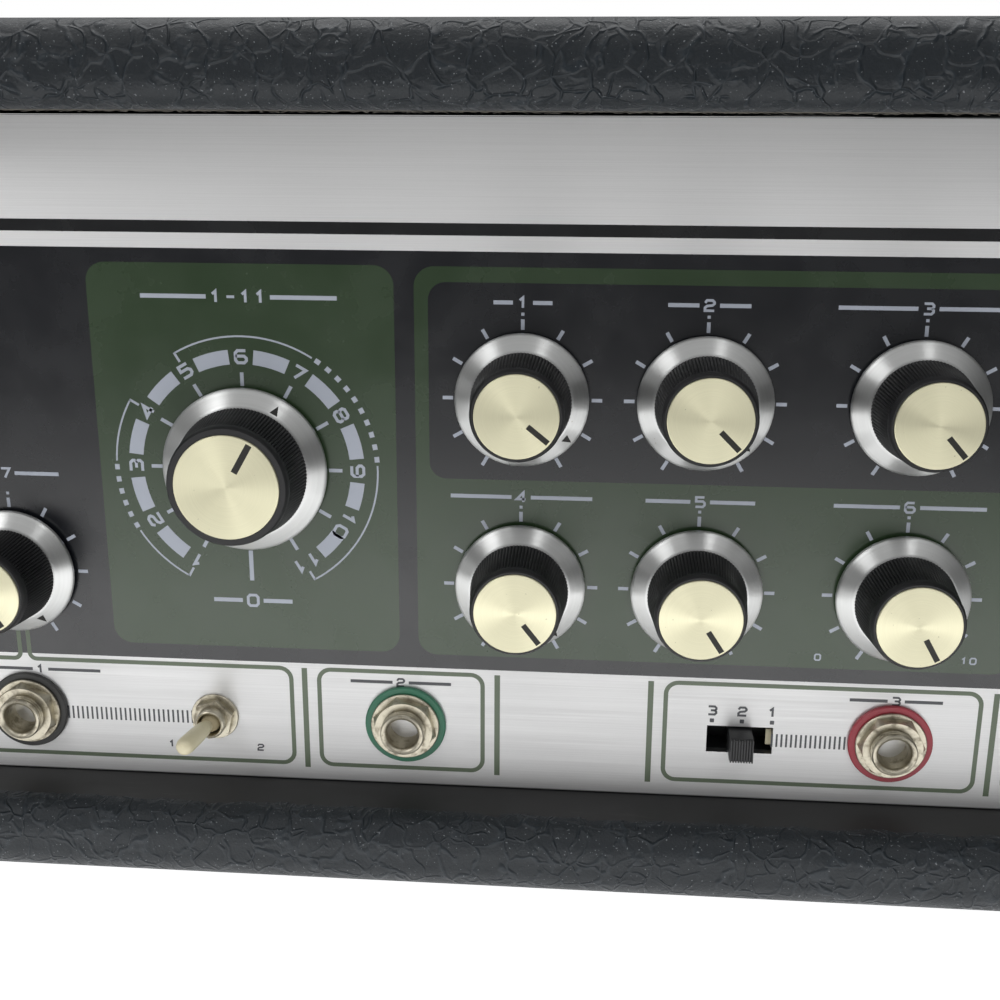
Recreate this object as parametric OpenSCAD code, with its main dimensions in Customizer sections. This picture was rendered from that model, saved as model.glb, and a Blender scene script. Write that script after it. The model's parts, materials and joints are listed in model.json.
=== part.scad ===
// Tape echo unit: a vinyl-covered wooden cabinet with a recessed control panel,
// a tape deck under a hinged lid, and the electronics on a steel chassis below it.
// Millimetres. Origin: centre of the footprint at the bottom of the feet.
// The front looks along -Y and +Z is up.

/* [Cabinet] */
// Width over the two side boards
cab_w = 415; // [405:1:440]
// Depth from the front edge to the rear edge
cab_d = 290; // [286:1:320]
// Height of the wooden case without its feet
cab_h = 174; // [172:1:190]
// Thickness of the top and bottom boards
board_t = 16; // [14:1:18]
// Thickness of the side boards
side_t = 17; // [14:1:20]
// Radius of the boards' long edges
edge_r = 6; // [3:0.5:6.5]
// Radius of the case's four lengthwise corners
corner_r = 9; // [4:1:12]
// Depth of the front recess, from the case's front to the panel
recess_d = 17.5; // [17.5:0.5:24]
// Length of the lid, from the front edge to the seam
lid_len = 200; // [195:1:210]
// Width of the seam between the lid and the fixed rear board
seam = 1; // [0.6:0.1:2]
// Gap between the lid's ends and the side boards
lid_gap = 0.8; // [0.4:0.1:1.5]
// Width of the ledges that the lid rests on
ledge_w = 6; // [4:0.5:6]
// Height of the rubber feet
foot_h = 11; // [8:1:20]
// Radius of a foot at its base
foot_r = 15; // [12:1:18]
// Distance of the foot centres from the case's sides and ends
foot_inset = 36; // [24:1:60]

/* [Handles and hinges] */
// Distance between the two ends of a strap
strap_len = 170; // [150:2:190]
// Width of a strap
strap_w = 25; // [20:1:32]
// Thickness of a strap
strap_t = 4; // [3:0.5:5]
// Gap between a strap's middle and the side board
strap_bow = 9; // [8.5:0.5:14]
// Height of the straps above the bottom of the case
strap_up = 87; // [60:1:110]
// Distance of each hinge from the middle of the lid
hinge_x = 120; // [60:5:140]
// Length of a hinge
hinge_len = 60; // [40:2:80]
// Width of one hinge leaf
leaf_w = 20; // [14:1:26]
// Thickness of a hinge leaf
leaf_t = 1.5; // [1:0.1:2]
// Outer radius of a hinge knuckle
knuckle_r = 3; // [2.6:0.1:4]
// Radius of a hinge pin
hinge_pin_r = 1.5; // [1:0.1:1.8]

/* [Panel] */
// Thickness of the aluminium panel
panel_t = 2; // [1.5:0.5:3]
// Gap below the panel
panel_gap = 0.2; // [0.1:0.1:0.5]
// Gap between the panel and the lid
panel_top_gap = 0.8; // [0.6:0.1:1.2]
// Place of the mode knob, to the right of the middle
mode_x = 4.5; // [0:0.5:6]
// Height of the mode knob above the panel's lower edge
mode_up = 70.8; // [70:0.2:72]
// First column of tone knobs, right of the mode knob
col_1 = 57; // [52:0.5:62]
// Second column
col_2 = 93.3; // [90:0.1:98]
// Third column
col_3 = 134.9; // [130:0.1:138]
// Input columns, left of the mode knob
in_1 = 51.8; // [50:0.1:55]
// Distance between the input columns
in_pitch = 42; // [38:0.5:43]
// Upper row of knobs, above the mode knob
row_up = 15.8; // [12:0.1:20]
// Lower row of knobs, below the mode knob
row_down = 23.75; // [20:0.05:26]
// Jack row, below the mode knob
row_jack = 56.4; // [54:0.1:58]

/* [Knobs] */
// Height of a small knob's face above the panel
knob_h = 17; // [15:0.5:17]
// Radius of a small knob at its base
knob_r = 10.1; // [9:0.1:11]
// Radius of a small knob at its rim
knob_rim_r = 9.1; // [8.5:0.1:9.5]
// Radius of a small knob's metal cap
cap_r = 8.15; // [6:0.05:8.2]
// Radius of a small knob's metal skirt
skirt_r = 13.45; // [12:0.05:15]
// Number of flutes on a small knob
flutes = 40; // [24:1:48]
// Height of the mode knob's face above the panel
mode_h = 15.5; // [14:0.5:17]
// Radius of the mode knob at its base
mode_r = 13.6; // [12.5:0.1:14.5]
// Radius of the mode knob at its rim
mode_rim_r = 12.3; // [11:0.1:12.4]
// Radius of the mode knob's metal cap
mode_cap_r = 10.55; // [8:0.05:10.9]
// Radius of the mode knob's metal skirt
mode_skirt_r = 17.15; // [16.5:0.05:18]
// Depth of a flute
flute_d = 0.5; // [0.3:0.05:0.7]
// Gap between a skirt and the panel
skirt_lift = 1; // [0.6:0.1:1.4]
// Thickness of a skirt
skirt_t = 3; // [2:0.5:3.5]
// Radius of the control shafts
shaft_r = 3; // [2.5:0.1:3.2]

/* [Jacks and switches] */
// Bore radius of a jack, for a quarter inch plug
jack_bore_r = 3.3; // [3.2:0.05:3.5]
// Outer radius of a jack's threaded bush
jack_bush_r = 4.75; // [4.5:0.05:5]
// Height of the bush in front of the panel
jack_bush_h = 6; // [5:0.5:8]
// Depth of a jack's body behind its panel
jack_d = 26; // [24:1:30]
// Radius of a jack's coloured washer
washer_r = 8.75; // [7.8:0.05:9]
// Thickness of the washer
washer_t = 1; // [0.5:0.1:1.5]
// Radius of a jack's hexagon nut, over its corners
jack_nut_r = 7.3; // [6:0.1:7.5]
// Thickness of the nut
jack_nut_t = 3.2; // [2:0.2:3.6]
// Place of the two-way toggle, left of the mode knob
toggle_x = 9.8; // [8:0.1:20]
// Distance of the power toggle from the panel's right end
power_in = 14.7; // [14.5:0.1:16]
// Length of a toggle's lever beyond its pivot
lever_len = 13.6; // [10:0.1:14]
// Radius of a lever near its tip
lever_tip_r = 1.85; // [1.4:0.05:2]
// Tilt of a lever to each side
lever_tilt = 10; // [6:1:12]
// Middle of the slide switch, right of the mode knob
slide_x = 104; // [98:0.1:106]
// Width of the slide switch's window
slide_win_w = 13.9; // [13.9:0.1:15]
// Height of the slide switch's window
slide_win_h = 6.1; // [5.9:0.1:7]
// Width of the slider
slider_w = 5; // [4:0.1:5]
// Height of the slider
slider_h = 5.3; // [4:0.1:5.3]

/* [Meter and lamp] */
// Width of the meter's bezel
vu_w = 66; // [62:1:70]
// Height of the meter's bezel
vu_h = 36; // [34:1:38]
// Place of the meter, left of the mode knob
vu_x = 112; // [105:0.5:116]
// Place of the meter, above the mode knob
vu_up = 22; // [20:0.5:26]
// Width of the bezel's rim
vu_rim = 4.5; // [3.5:0.5:6]
// Depth of the meter's case behind the panel front
vu_d = 20; // [14:1:21]
// Length of the needle
needle_len = 21; // [16:0.5:22]
// Sweep of the needle
needle_sweep = 90; // [60:5:96]
// Place of the peak lamp, left of the mode knob
lamp_x = 160; // [156:0.5:168]
// Radius of the lamp's lens
lamp_r = 3; // [2:0.5:4]

/* [Tape deck] */
// Depth of the deck's top below the underside of the lid
deck_drop = 24; // [23:0.5:25]
// Thickness of the deck plate
deck_t = 2; // [1.5:0.5:3]
// Place of the tape line behind the panel front
tape_back = 55.5; // [54:0.5:57]
// Height of the tape's lower edge above the deck
tape_up = 6; // [5.8:0.1:6.5]
// Width of the tape
tape_w = 6.35; // [6.3:0.05:6.4]
// Thickness of the tape's solid
tape_t = 0.3; // [0.2:0.05:0.4]
// Half the distance between the tape's two straight falls into the tank
tape_x = 116; // [112:0.5:120]
// Width of the tape tank
tank_w = 248; // [246:1:270]
// Depth of the tape tank
tank_d = 82; // [80:1:84]
// Height of the tape tank
tank_h = 19; // [17:0.5:19]
// Wall of the tape tank
tank_wall = 2; // [1.5:0.1:2.5]
// Thickness of the tank's clear cover
cover_t = 2; // [1:0.5:3]
// Number of folds of tape in the tank, an odd number
folds = 17; // [9:2:21]
// Radius of the capstan
capstan_r = 2.5; // [2:0.1:3]
// Radius of the flywheel
flywheel_r = 28; // [22:1:28]
// Thickness of the flywheel
flywheel_t = 12; // [10:1:14]
// Place of the capstan, left of the middle
capstan_x = 85; // [83:0.5:90]
// Radius of the motor pulley
pulley_r = 8; // [6:0.5:10]
// Distance between the capstan and the motor shaft
belt_span = 75; // [68:1:80]
// Width of the belt
belt_w = 8; // [6:0.5:9]
// Thickness of the belt
belt_t = 1; // [0.8:0.1:1.2]
// Radius of the pinch roller
roller_r = 9; // [8:0.5:9.5]
// Length of the pinch arm, from its pivot to the roller
arm_len = 35; // [34:0.5:37]
// Swing of the pinch arm
arm_swing = 6.6; // [5:0.1:8]
// Radius of the tape guides
guide_r = 4; // [3:0.25:4.5]

/* [Inside] */
// Thickness of the chassis sheet
sheet_t = 1.2; // [1:0.1:1.6]
// Gap between the chassis and the side boards
chassis_gap = 6.5; // [6.2:0.1:7]
// Distance of the rear panel from the rear edge
rear_recess = 10; // [9:0.5:12]
// Thickness of the rear panel
rear_t = 1.5; // [1:0.1:2]
// Radius of the motor's body
motor_r = 25; // [20:1:26]
// Length of the motor's body
motor_len = 52; // [40:1:56]
// Length of the reverb spring tank
reverb_len = 235; // [200:5:240]
// Width of the transformer's core
core_w = 50; // [40:1:54]

/* [Hidden] */
$fn = 48;

// Running clearances
run = 0.05;      // round shafts and pins in their bores
slip = 0.1;      // flat pieces beside each other
air = 0.3;       // curved faces of different bodies

// Levels and planes of the cabinet
floor_z = foot_h + board_t;
roof_z = foot_h + cab_h - board_t;
top_z = foot_h + cab_h;
inner_w = cab_w - 2 * side_t;
front_y = -cab_d / 2;
back_y = cab_d / 2;
lid_back = front_y + lid_len;

// Panel planes, and the mode knob's height in the part's frame
panel_y = front_y + recess_d;
panel_back = panel_y + panel_t;
panel_w = inner_w - 2 * air;
panel_z = floor_z + panel_gap;
panel_h = roof_z - panel_top_gap - panel_z;
mode_z = panel_z + mode_up;
rear_y = back_y - rear_recess;
rear_out = rear_y + rear_t;

// Controls: place right of and above the mode knob, and pointer angle at rest,
// clockwise from the top
in_2 = in_1 + in_pitch;
in_3 = in_2 + in_pitch;
BASS = [col_1, row_up, 129];
TREBLE = [col_2, row_up, 135];
REVERB = [col_3, row_up, 138.5];
RATE = [col_1, -row_down, 142];
INTENSITY = [col_2, -row_down, 146.5];
ECHO = [col_3, -row_down, 150];
INSTRUMENT = [-in_1, -row_down, 148];
MIC_1 = [-in_2, -row_down, 150];
MIC_2 = [-in_3, -row_down, 150];
MODE = [0, 0, 30];
POTS = [BASS, TREBLE, REVERB, RATE, INTENSITY, ECHO, INSTRUMENT, MIC_1, MIC_2];
pa_x = 32.4;         // jack of the second input
out_x = 135.3;       // output jack
JACKS = [-in_3, -in_2, -in_1, pa_x, out_x];
power_x = panel_w / 2 - power_in - mode_x;

// Control bushings and knobs
bush_r = shaft_r + 0.8;
bush_h = 4.5;
bush_nut_r = 5.7;
bush_nut_t = 2.2;
pot_r = 11;
pot_d = 11;
switch_r = 13;
switch_d = 16;
well_r = 6.6;        // hollow under a knob, round the bushing and its nut
well_h = 6.5;
cap_t = 1;
rim_t = 1.2;
shaft_end = 12;      // shaft's end in front of the panel
pointer_w = 1.1;
pointer_d = 0.4;

// Toggles and slide switch
pivot_h = 3;         // lever's pivot in front of the panel
toggle_bush_r = 3.2;
toggle_bush_h = 5;
toggle_bore_r = 2.4;
toggle_nut_r = 4.68;
toggle_nut_t = 2;
face_t = 0.7;        // round face under a nut
ball_r = 2;
switch_box = [12, 9, 14];
slide_z = -57.05;
slide_box = [28, 12, 10];
slider_out = 6;
slider_in = 6;

// Handles
cap_len = 26;
cap_h = strap_w + 7;
cap_out = strap_bow + 1.5;
strap_sag = 7;
half_strap = strap_len / 2;
strap_r = (half_strap * half_strap + strap_sag * strap_sag) / (2 * strap_sag);
strap_z = foot_h + strap_up;
screw_r = 2;
screw_head_r = 3.6;
screw_deep = 10;
panel_screw_r = 1.5;
panel_head_r = 2.7;
panel_head_t = 1.8;
panel_screw_in = 12;
panel_screw_up = 5;
rear_screw_in = 8;

// Hinges
axis_y = lid_back + seam / 2;
axis_z = top_z + knuckle_r + 0.2;
knuckle_gap = 0.3;
outer_knuckle = hinge_len / 4;

// Deck
chassis_w = inner_w - 2 * chassis_gap;
deck_z = roof_z - deck_drop;
deck_front = panel_y + 7.5;
deck_back = lid_back - 5;
tape_y = panel_y + tape_back;
tape_z = deck_z + tape_up;
tank_y = deck_back - 4 - tank_d;
capstan_y = tape_y - tape_t / 2 - air - capstan_r;
wheel_drop = 14;
wheel_z = deck_z - deck_t - wheel_drop - flywheel_t;
arm_x = -capstan_x + arm_len;
arm_y = tape_y + tape_t / 2 + air + roller_r;
roller_x = arm_x - arm_len * cos(arm_swing);
roller_y = arm_y + arm_len * sin(arm_swing);
roller_h = 10.5;
roller_z = deck_z + 5.5;
bend_r = guide_r + air + tape_t / 2;
guide_x = tape_x - bend_r;
guide_y = tape_y + bend_r;
motor_x = -capstan_x + belt_span;
motor_top = wheel_z - 5;
bridge_t = 4;
HEAD_X = [75, 50, 20, -10, -40];
head_w = 12;
head_d = 13.5;
head_h = 13;

// ---- Shared shapes ----

// Rectangle with four round corners
module rounded(w, h, r) {
  square([w - 2 * r, h], center = true);
  square([w, h - 2 * r], center = true);
  for (sx = [-1, 1], sy = [-1, 1])
    translate([sx * (w / 2 - r), sy * (h / 2 - r)])
      circle(r);
}

// Box between two opposite corners
module span(low, high) {
  translate(low)
    cube(high - low);
}

// Place on the panel: x to the right, y up, z out of the panel
module on_panel(x, z) {
  translate([mode_x + x, panel_y, mode_z + z])
    rotate([90, 0, 0])
      children();
}

// Place on the rear panel: z out of it, seen from behind
module on_rear(x, z) {
  translate([x, rear_out, z])
    rotate([-90, 0, 0])
      children();
}

// Hexagon nut with a round face below and its upper corners turned off
module hex_nut(corner_r, hole_r, t) {
  chamfer = corner_r / 10;
  difference() {
    union() {
      cylinder(r = corner_r, h = face_t);
      intersection() {
        cylinder(r = corner_r, h = t, $fn = 6);
        union() {
          cylinder(r = corner_r + 1, h = t - chamfer);
          translate([0, 0, t - chamfer - 0.01])
            cylinder(r1 = corner_r, r2 = corner_r - 1.6 * chamfer, h = chamfer + 0.01);
        }
      }
    }
    translate([0, 0, -1])
      cylinder(r = hole_r, h = t + 2);
  }
}

// Screw with a domed head; z = 0 is the seat
module screw(r, head_r, head_t, deep) {
  translate([0, 0, -deep])
    cylinder(r = r, h = deep + head_t / 2);
  cylinder(r = head_r, h = head_t / 2);
  translate([0, 0, head_t / 2])
    cylinder(r1 = head_r, r2 = head_r * 0.6, h = head_t / 2);
}

// Places of the feet
module at_feet() {
  for (sx = [-1, 1], sy = [-1, 1])
    translate([sx * (cab_w / 2 - foot_inset), sy * (cab_d / 2 - foot_inset), 0])
      children();
}

// Places of the screws that hold the handles, z pointing out of the side
module at_handle_screws() {
  for (sx = [-1, 1], sy = [-1, 1])
    translate([sx * cab_w / 2, sy * (half_strap + cap_len / 2 - 4), strap_z])
      rotate([0, sx * 90, 0])
        children();
}

// Places of the screws at the front panel's corners
module at_panel_screws() {
  for (sx = [-1, 1], up = [panel_screw_up, panel_h - panel_screw_up])
    translate([sx * (panel_w / 2 - panel_screw_in), panel_y, panel_z + up])
      rotate([90, 0, 0])
        children();
}

// Places of the screws at the rear panel's corners
module at_rear_screws() {
  for (sx = [-1, 1], z = [floor_z + rear_screw_in, roof_z - rear_screw_in])
    translate([sx * (inner_w / 2 - rear_screw_in), rear_out, z])
      rotate([-90, 0, 0])
        children();
}

// ---- Cabinet ----

// Bottom and top boards seen from the side: y across, z up
module cross_profile() {
  for (z = [foot_h, roof_z])
    translate([0, z + board_t / 2])
      rounded(cab_d, board_t, edge_r);
}

// Side boards seen from above
module side_profile() {
  for (sx = [-1, 1])
    translate([sx * (cab_w - side_t) / 2, 0])
      rounded(side_t, cab_d, edge_r);
}

// Side view drawn in y and z, made a solid along x
module along_x(width) {
  rotate([90, 0, 90])
    linear_extrude(width, center = true)
      children();
}

// Closed outer form of the case, with every outer edge rounded
module case_form() {
  intersection() {
    along_x(cab_w)
      translate([0, foot_h + cab_h / 2])
        rounded(cab_d, cab_h, edge_r);
    translate([0, 0, foot_h])
      linear_extrude(cab_h)
        rounded(cab_w, cab_d, edge_r);
    rotate([90, 0, 0])
      translate([0, foot_h + cab_h / 2, 0])
        linear_extrude(cab_d, center = true)
          rounded(cab_w, cab_h, corner_r);
  }
}

// Room between the side boards, wider where their edges are rounded
module between_sides(z, h) {
  translate([0, 0, z])
    linear_extrude(h)
      difference() {
        square([cab_w - side_t, cab_d + 2], center = true);
        side_profile();
      }
}

module cabinet() color("#33373b") {
  difference() {
    case_form();
    intersection() {
      between_sides(0, 2 * cab_h);
      along_x(cab_w)
        difference() {
          translate([0, foot_h + cab_h / 2])
            square([cab_d + 2, cab_h - board_t], center = true);
          cross_profile();
        }
    }
    intersection() {
      between_sides(roof_z - 1, board_t + 2);
      span([-cab_w, front_y - 1, roof_z - 1], [cab_w, lid_back + seam, top_z + 1]);
    }
    at_feet()
      translate([0, 0, foot_h - 1])
        cylinder(r = screw_r + run, h = screw_deep + 1.5);
    at_handle_screws()
      translate([0, 0, -screw_deep - 0.5])
        cylinder(r = screw_r + run, h = screw_deep + 1);
  }
  ledges();
  cleats();
}

// Strips that the lid rests on
module ledges() {
  for (sx = [-1, 1])
    span([sx > 0 ? inner_w / 2 - ledge_w : -inner_w / 2 - 1, panel_back + 8, roof_z - 8],
         [sx > 0 ? inner_w / 2 + 1 : -inner_w / 2 + ledge_w, lid_back - 4, roof_z]);
}

// Corner blocks that the rear panel is screwed to
module cleats() {
  size = 2 * rear_screw_in;
  difference() {
    for (sx = [-1, 1], z = [floor_z - 1, roof_z + 1 - size])
      span([sx > 0 ? inner_w / 2 + 1 - size : -inner_w / 2 - 1, rear_y - 14, z],
           [sx > 0 ? inner_w / 2 + 1 : -inner_w / 2 - 1 + size, rear_y, z + size]);
    at_rear_screws()
      translate([0, 0, -screw_deep - 0.5])
        cylinder(r = panel_screw_r + run, h = screw_deep + 1);
  }
}

module lid() color("#2f3337")
  intersection() {
    along_x(inner_w - 2 * lid_gap)
      cross_profile();
    span([-cab_w, front_y - 1, roof_z - 1], [cab_w, lid_back, top_z + 1]);
  }

// One hinge leaf with its knuckles, in the frame of the hinge's axis;
// dir is the side that the leaf lies on, and spans the knuckles' places along the axis
module leaf(dir, spans) {
  drop = axis_z - top_z;
  difference() {
    union() {
      span([-hinge_len / 2, dir > 0 ? knuckle_r + air : -leaf_w, -drop],
           [hinge_len / 2, dir > 0 ? leaf_w : -knuckle_r - air, -drop + leaf_t]);
      for (s = spans) {
        translate([s[0], 0, 0])
          rotate([0, 90, 0])
            cylinder(r = knuckle_r, h = s[1] - s[0]);
        span([s[0], dir > 0 ? 0 : -knuckle_r - air - 1, -drop],
             [s[1], dir > 0 ? knuckle_r + air + 1 : 0, -drop + leaf_t]);
      }
    }
    rotate([0, 90, 0])
      cylinder(r = hinge_pin_r + run, h = hinge_len + 2, center = true);
  }
}

module at_hinges() {
  for (sx = [-1, 1])
    translate([sx * hinge_x, axis_y, axis_z])
      children();
}

// Leaves on the fixed board, with the two pins
module hinge_leaves_fixed() color("#b9b4a6")
  at_hinges() {
    leaf(1, [[-hinge_len / 2, -hinge_len / 2 + outer_knuckle],
             [hinge_len / 2 - outer_knuckle, hinge_len / 2]]);
    rotate([0, 90, 0])
      cylinder(r = hinge_pin_r, h = hinge_len, center = true);
  }

module hinge_leaves_lid() color("#b9b4a6")
  at_hinges()
    leaf(-1, [[-hinge_len / 2 + outer_knuckle + knuckle_gap,
               hinge_len / 2 - outer_knuckle - knuckle_gap]]);

module feet() color("#1b1b1c")
  at_feet()
    difference() {
      cylinder(r1 = foot_r, r2 = foot_r + 1.5, h = foot_h);
      translate([0, 0, -1])
        cylinder(r = screw_head_r + 1, h = foot_h / 2 + 1);
      cylinder(r = screw_r + run, h = foot_h + 1);
    }

// Straps bow out from the side boards between their two caps
module handle_straps() color("#232527")
  for (sx = [-1, 1])
    translate([0, 0, strap_z - strap_w / 2])
      linear_extrude(strap_w)
        intersection() {
          translate([sx * (cab_w / 2 + strap_bow - strap_r), 0])
            difference() {
              circle(strap_r + strap_t, $fn = 960);
              circle(strap_r, $fn = 960);
            }
          translate([sx * (cab_w / 2 + cap_out), 0])
            square([2 * cap_out + strap_t * 2, strap_len], center = true);
        }

module handle_caps() color("#c9cacb")
  difference() {
    for (sx = [-1, 1], sy = [-1, 1])
      translate([sx * (cab_w / 2), sy * (half_strap + cap_len / 2 - 11), strap_z])
        rotate([0, sx * 90, 0])
          linear_extrude(cap_out)
            rounded(cap_h, cap_len, 4);
    for (sx = [-1, 1])
      translate([sx * (cab_w / 2 + (cap_out - 2.2) / 2 + 0.6), 0, strap_z])
        cube([cap_out - 3.4, strap_len + 2, strap_w + 2 * air], center = true);
    at_handle_screws()
      translate([0, 0, -1])
        cylinder(r = screw_r + run, h = cap_out + 2);
  }

// Screws through the feet and the handle caps
module cabinet_screws() color("#a8a9ab") {
  at_feet()
    translate([0, 0, foot_h / 2])
      rotate([180, 0, 0])
        screw(screw_r, screw_head_r, 2.6, foot_h / 2 + screw_deep);
  at_handle_screws()
    translate([0, 0, cap_out])
      screw(screw_r, screw_head_r, 2.2, cap_out + screw_deep);
}

// ---- Panel ----

module front_panel() color("#c8cacc")
  difference() {
    span([-panel_w / 2, panel_y, panel_z], [panel_w / 2, panel_back, panel_z + panel_h]);
    for (p = concat(POTS, [MODE]))
      on_panel(p[0], p[1])
        cylinder(r = bush_r + run, h = 4 * panel_t, center = true);
    for (x = JACKS)
      on_panel(x, -row_jack)
        cylinder(r = jack_bush_r + run, h = 4 * panel_t, center = true);
    for (x = [-toggle_x, power_x])
      on_panel(x, -row_jack)
        cylinder(r = toggle_bush_r + run, h = 4 * panel_t, center = true);
    on_panel(slide_x, slide_z)
      cube([slide_win_w, slide_win_h, 4 * panel_t], center = true);
    on_panel(-vu_x, vu_up)
      cube([vu_w - 4 + slip, vu_h - 4 + slip, 4 * panel_t], center = true);
    on_panel(-lamp_x, vu_up)
      cylinder(r = lamp_r + run, h = 4 * panel_t, center = true);
    at_panel_screws()
      cylinder(r = panel_screw_r + run, h = 4 * panel_t, center = true);
  }

// Screws of the front and the rear panel
module panel_screws() color("#9a9b9d") {
  at_panel_screws()
    screw(panel_screw_r, panel_head_r, panel_head_t, screw_deep - 2);
  at_rear_screws()
    screw(panel_screw_r, panel_head_r, panel_head_t, screw_deep);
}

// ---- Knobs ----

// Toothed outline of a fluted grip
function fluted(r, n) = [
  for (i = [0 : 2 * n - 1])
    (i % 2 == 0 ? r : r - flute_d) * [cos(180 * i / n), sin(180 * i / n)]
];

// Black grip: fluted and tapered, with a hollow base, a shaft bore and a seat for the cap
module grip(r, rim, cap, h, n) {
  base = skirt_lift + skirt_t;
  top = h - 0.4;
  difference() {
    union() {
      translate([0, 0, base])
        linear_extrude(top - rim_t - base, scale = rim / r)
          polygon(fluted(r, n));
      translate([0, 0, top - rim_t - 0.01])
        cylinder(r1 = rim - flute_d, r2 = rim - flute_d - 0.4, h = rim_t + 0.01);
    }
    translate([0, 0, base - 1])
      cylinder(r = well_r, h = well_h - base + 1);
    cylinder(r = shaft_r + run, h = shaft_end + slip);
    translate([0, 0, h - cap_t])
      cylinder(r = cap + run, h = cap_t + 1);
  }
}

// Metal of a knob: turned skirt, cap with its pointer groove, and the control's shaft
module knob_metal(rim, skirt, cap, h, grip_r) {
  rotate_extrude()
    polygon([[well_r, skirt_lift], [skirt, skirt_lift], [skirt, skirt_lift + 0.9],
             [skirt - 0.6, skirt_lift + 1.5], [grip_r + 0.2, skirt_lift + skirt_t],
             [well_r, skirt_lift + skirt_t]]);
  difference() {
    translate([0, 0, h - cap_t])
      cylinder(r = cap, h = cap_t);
    translate([-pointer_w / 2, 0.35 * cap, h - pointer_d])
      cube([pointer_w, 0.6 * cap, 1]);
  }
  translate([0, 0, -panel_t - pot_d + 3])
    cylinder(r = shaft_r, h = panel_t + pot_d - 3 + shaft_end);
}

module small_grip(p) color("#1c1c1e")
  on_panel(p[0], p[1])
    rotate([0, 0, -p[2]])
      grip(knob_r, knob_rim_r, cap_r, knob_h, flutes);

module small_metal(p) color("#d6cfb0")
  on_panel(p[0], p[1])
    rotate([0, 0, -p[2]])
      knob_metal(knob_rim_r, skirt_r, cap_r, knob_h, knob_r);

module mode_grip() color("#1c1c1e")
  on_panel(MODE[0], MODE[1])
    rotate([0, 0, -MODE[2]])
      grip(mode_r, mode_rim_r, mode_cap_r, mode_h, round(flutes * 1.35));

module mode_metal() color("#d6cfb0")
  on_panel(MODE[0], MODE[1])
    rotate([0, 0, -MODE[2]])
      knob_metal(mode_rim_r, mode_skirt_r, mode_cap_r, mode_h, mode_r);

// ---- Controls behind the panel ----

// Round control body with its bushing and nut
module control(r, d) {
  difference() {
    union() {
      translate([0, 0, -panel_t - d])
        cylinder(r = r, h = d);
      translate([0, 0, -panel_t - 1])
        cylinder(r = bush_r, h = panel_t + bush_h + 1);
    }
    translate([0, 0, -panel_t - pot_d + 3 - slip])
      cylinder(r = shaft_r + run, h = panel_t + pot_d + bush_h);
  }
  translate([0, 0, run])
    hex_nut(bush_nut_r, bush_r + run, bush_nut_t);
}

module potentiometers() color("#8f8c84")
  for (p = POTS)
    on_panel(p[0], p[1])
      control(pot_r, pot_d);

module mode_switch() color("#8f8c84")
  on_panel(MODE[0], MODE[1])
    control(switch_r, switch_d);

jack_body_w = 18;
jack_body_h = 15;

// Quarter inch jack: body, threaded bush and nut; seat is the washer's thickness
module jack(plate_t, seat) {
  difference() {
    union() {
      translate([-jack_body_w / 2, -jack_body_h / 2, -plate_t - jack_d])
        cube([jack_body_w, jack_body_h, jack_d]);
      translate([0, 0, -plate_t - 1])
        cylinder(r = jack_bush_r, h = plate_t + jack_bush_h + 1);
    }
    translate([0, 0, -plate_t - jack_d + 2])
      cylinder(r = jack_bore_r, h = plate_t + jack_d + jack_bush_h);
  }
  translate([0, 0, seat])
    hex_nut(jack_nut_r, jack_bush_r + run, jack_nut_t - 0.6);
}

// Rear jacks, for the foot switches
REAR_JACK_X = [-150, -122];
rear_jack_up = 35;
rear_jack_z = floor_z + rear_jack_up;

module jacks() color("#b5b0a4") {
  for (x = JACKS)
    on_panel(x, -row_jack)
      jack(panel_t, washer_t);
  for (x = REAR_JACK_X)
    on_rear(x, rear_jack_z)
      jack(rear_t, run);
}

module jack_washers() color("#2c6b52")
  for (x = JACKS)
    on_panel(x, -row_jack)
      difference() {
        cylinder(r = washer_r, h = washer_t);
        translate([0, 0, -1])
          cylinder(r = jack_bush_r + run, h = washer_t + 2);
      }

// Body of a toggle switch with its bushing and nut
module toggle_body() {
  difference() {
    union() {
      translate([-switch_box[0] / 2, -switch_box[1] / 2, -panel_t - switch_box[2]])
        cube(switch_box);
      translate([0, 0, -panel_t - 1])
        cylinder(r = toggle_bush_r, h = panel_t + toggle_bush_h + 1);
    }
    translate([0, 0, pivot_h - ball_r - air])
      cylinder(r = toggle_bore_r, h = toggle_bush_h);
  }
  translate([0, 0, run])
    hex_nut(toggle_nut_r, toggle_bush_r + run, toggle_nut_t);
}

module switch_bodies() color("#a9a498") {
  on_panel(-toggle_x, -row_jack)
    toggle_body();
  on_panel(power_x, -row_jack)
    rotate([0, 0, 90])
      toggle_body();
  on_panel(slide_x, slide_z)
    difference() {
      translate([-slide_box[0] / 2, -slide_box[1] / 2, -panel_t - slide_box[2]])
        cube(slide_box);
      translate([-slide_win_w / 2, -slide_win_h / 2, -slider_in - air])
        cube([slide_win_w, slide_win_h, slide_box[2]]);
    }
}

// Bat lever with its pivot ball and pin; the pin lies along local y
module lever() {
  sphere(ball_r);
  rotate([90, 0, 0])
    cylinder(r = 0.7, h = 2 * toggle_bore_r - 0.2, center = true);
  cylinder(r1 = 0.95, r2 = lever_tip_r, h = lever_len - lever_tip_r);
  translate([0, 0, lever_len - lever_tip_r])
    sphere(lever_tip_r);
}

module toggle_lever() color("#cfc9ae")
  on_panel(-toggle_x, -row_jack)
    translate([0, 0, pivot_h])
      rotate([0, -lever_tilt, 0])
        lever();

module power_lever() color("#c4c5c7")
  on_panel(power_x, -row_jack)
    translate([0, 0, pivot_h])
      rotate([lever_tilt, 0, 0])
        rotate([0, 0, 90])
          lever();

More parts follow.
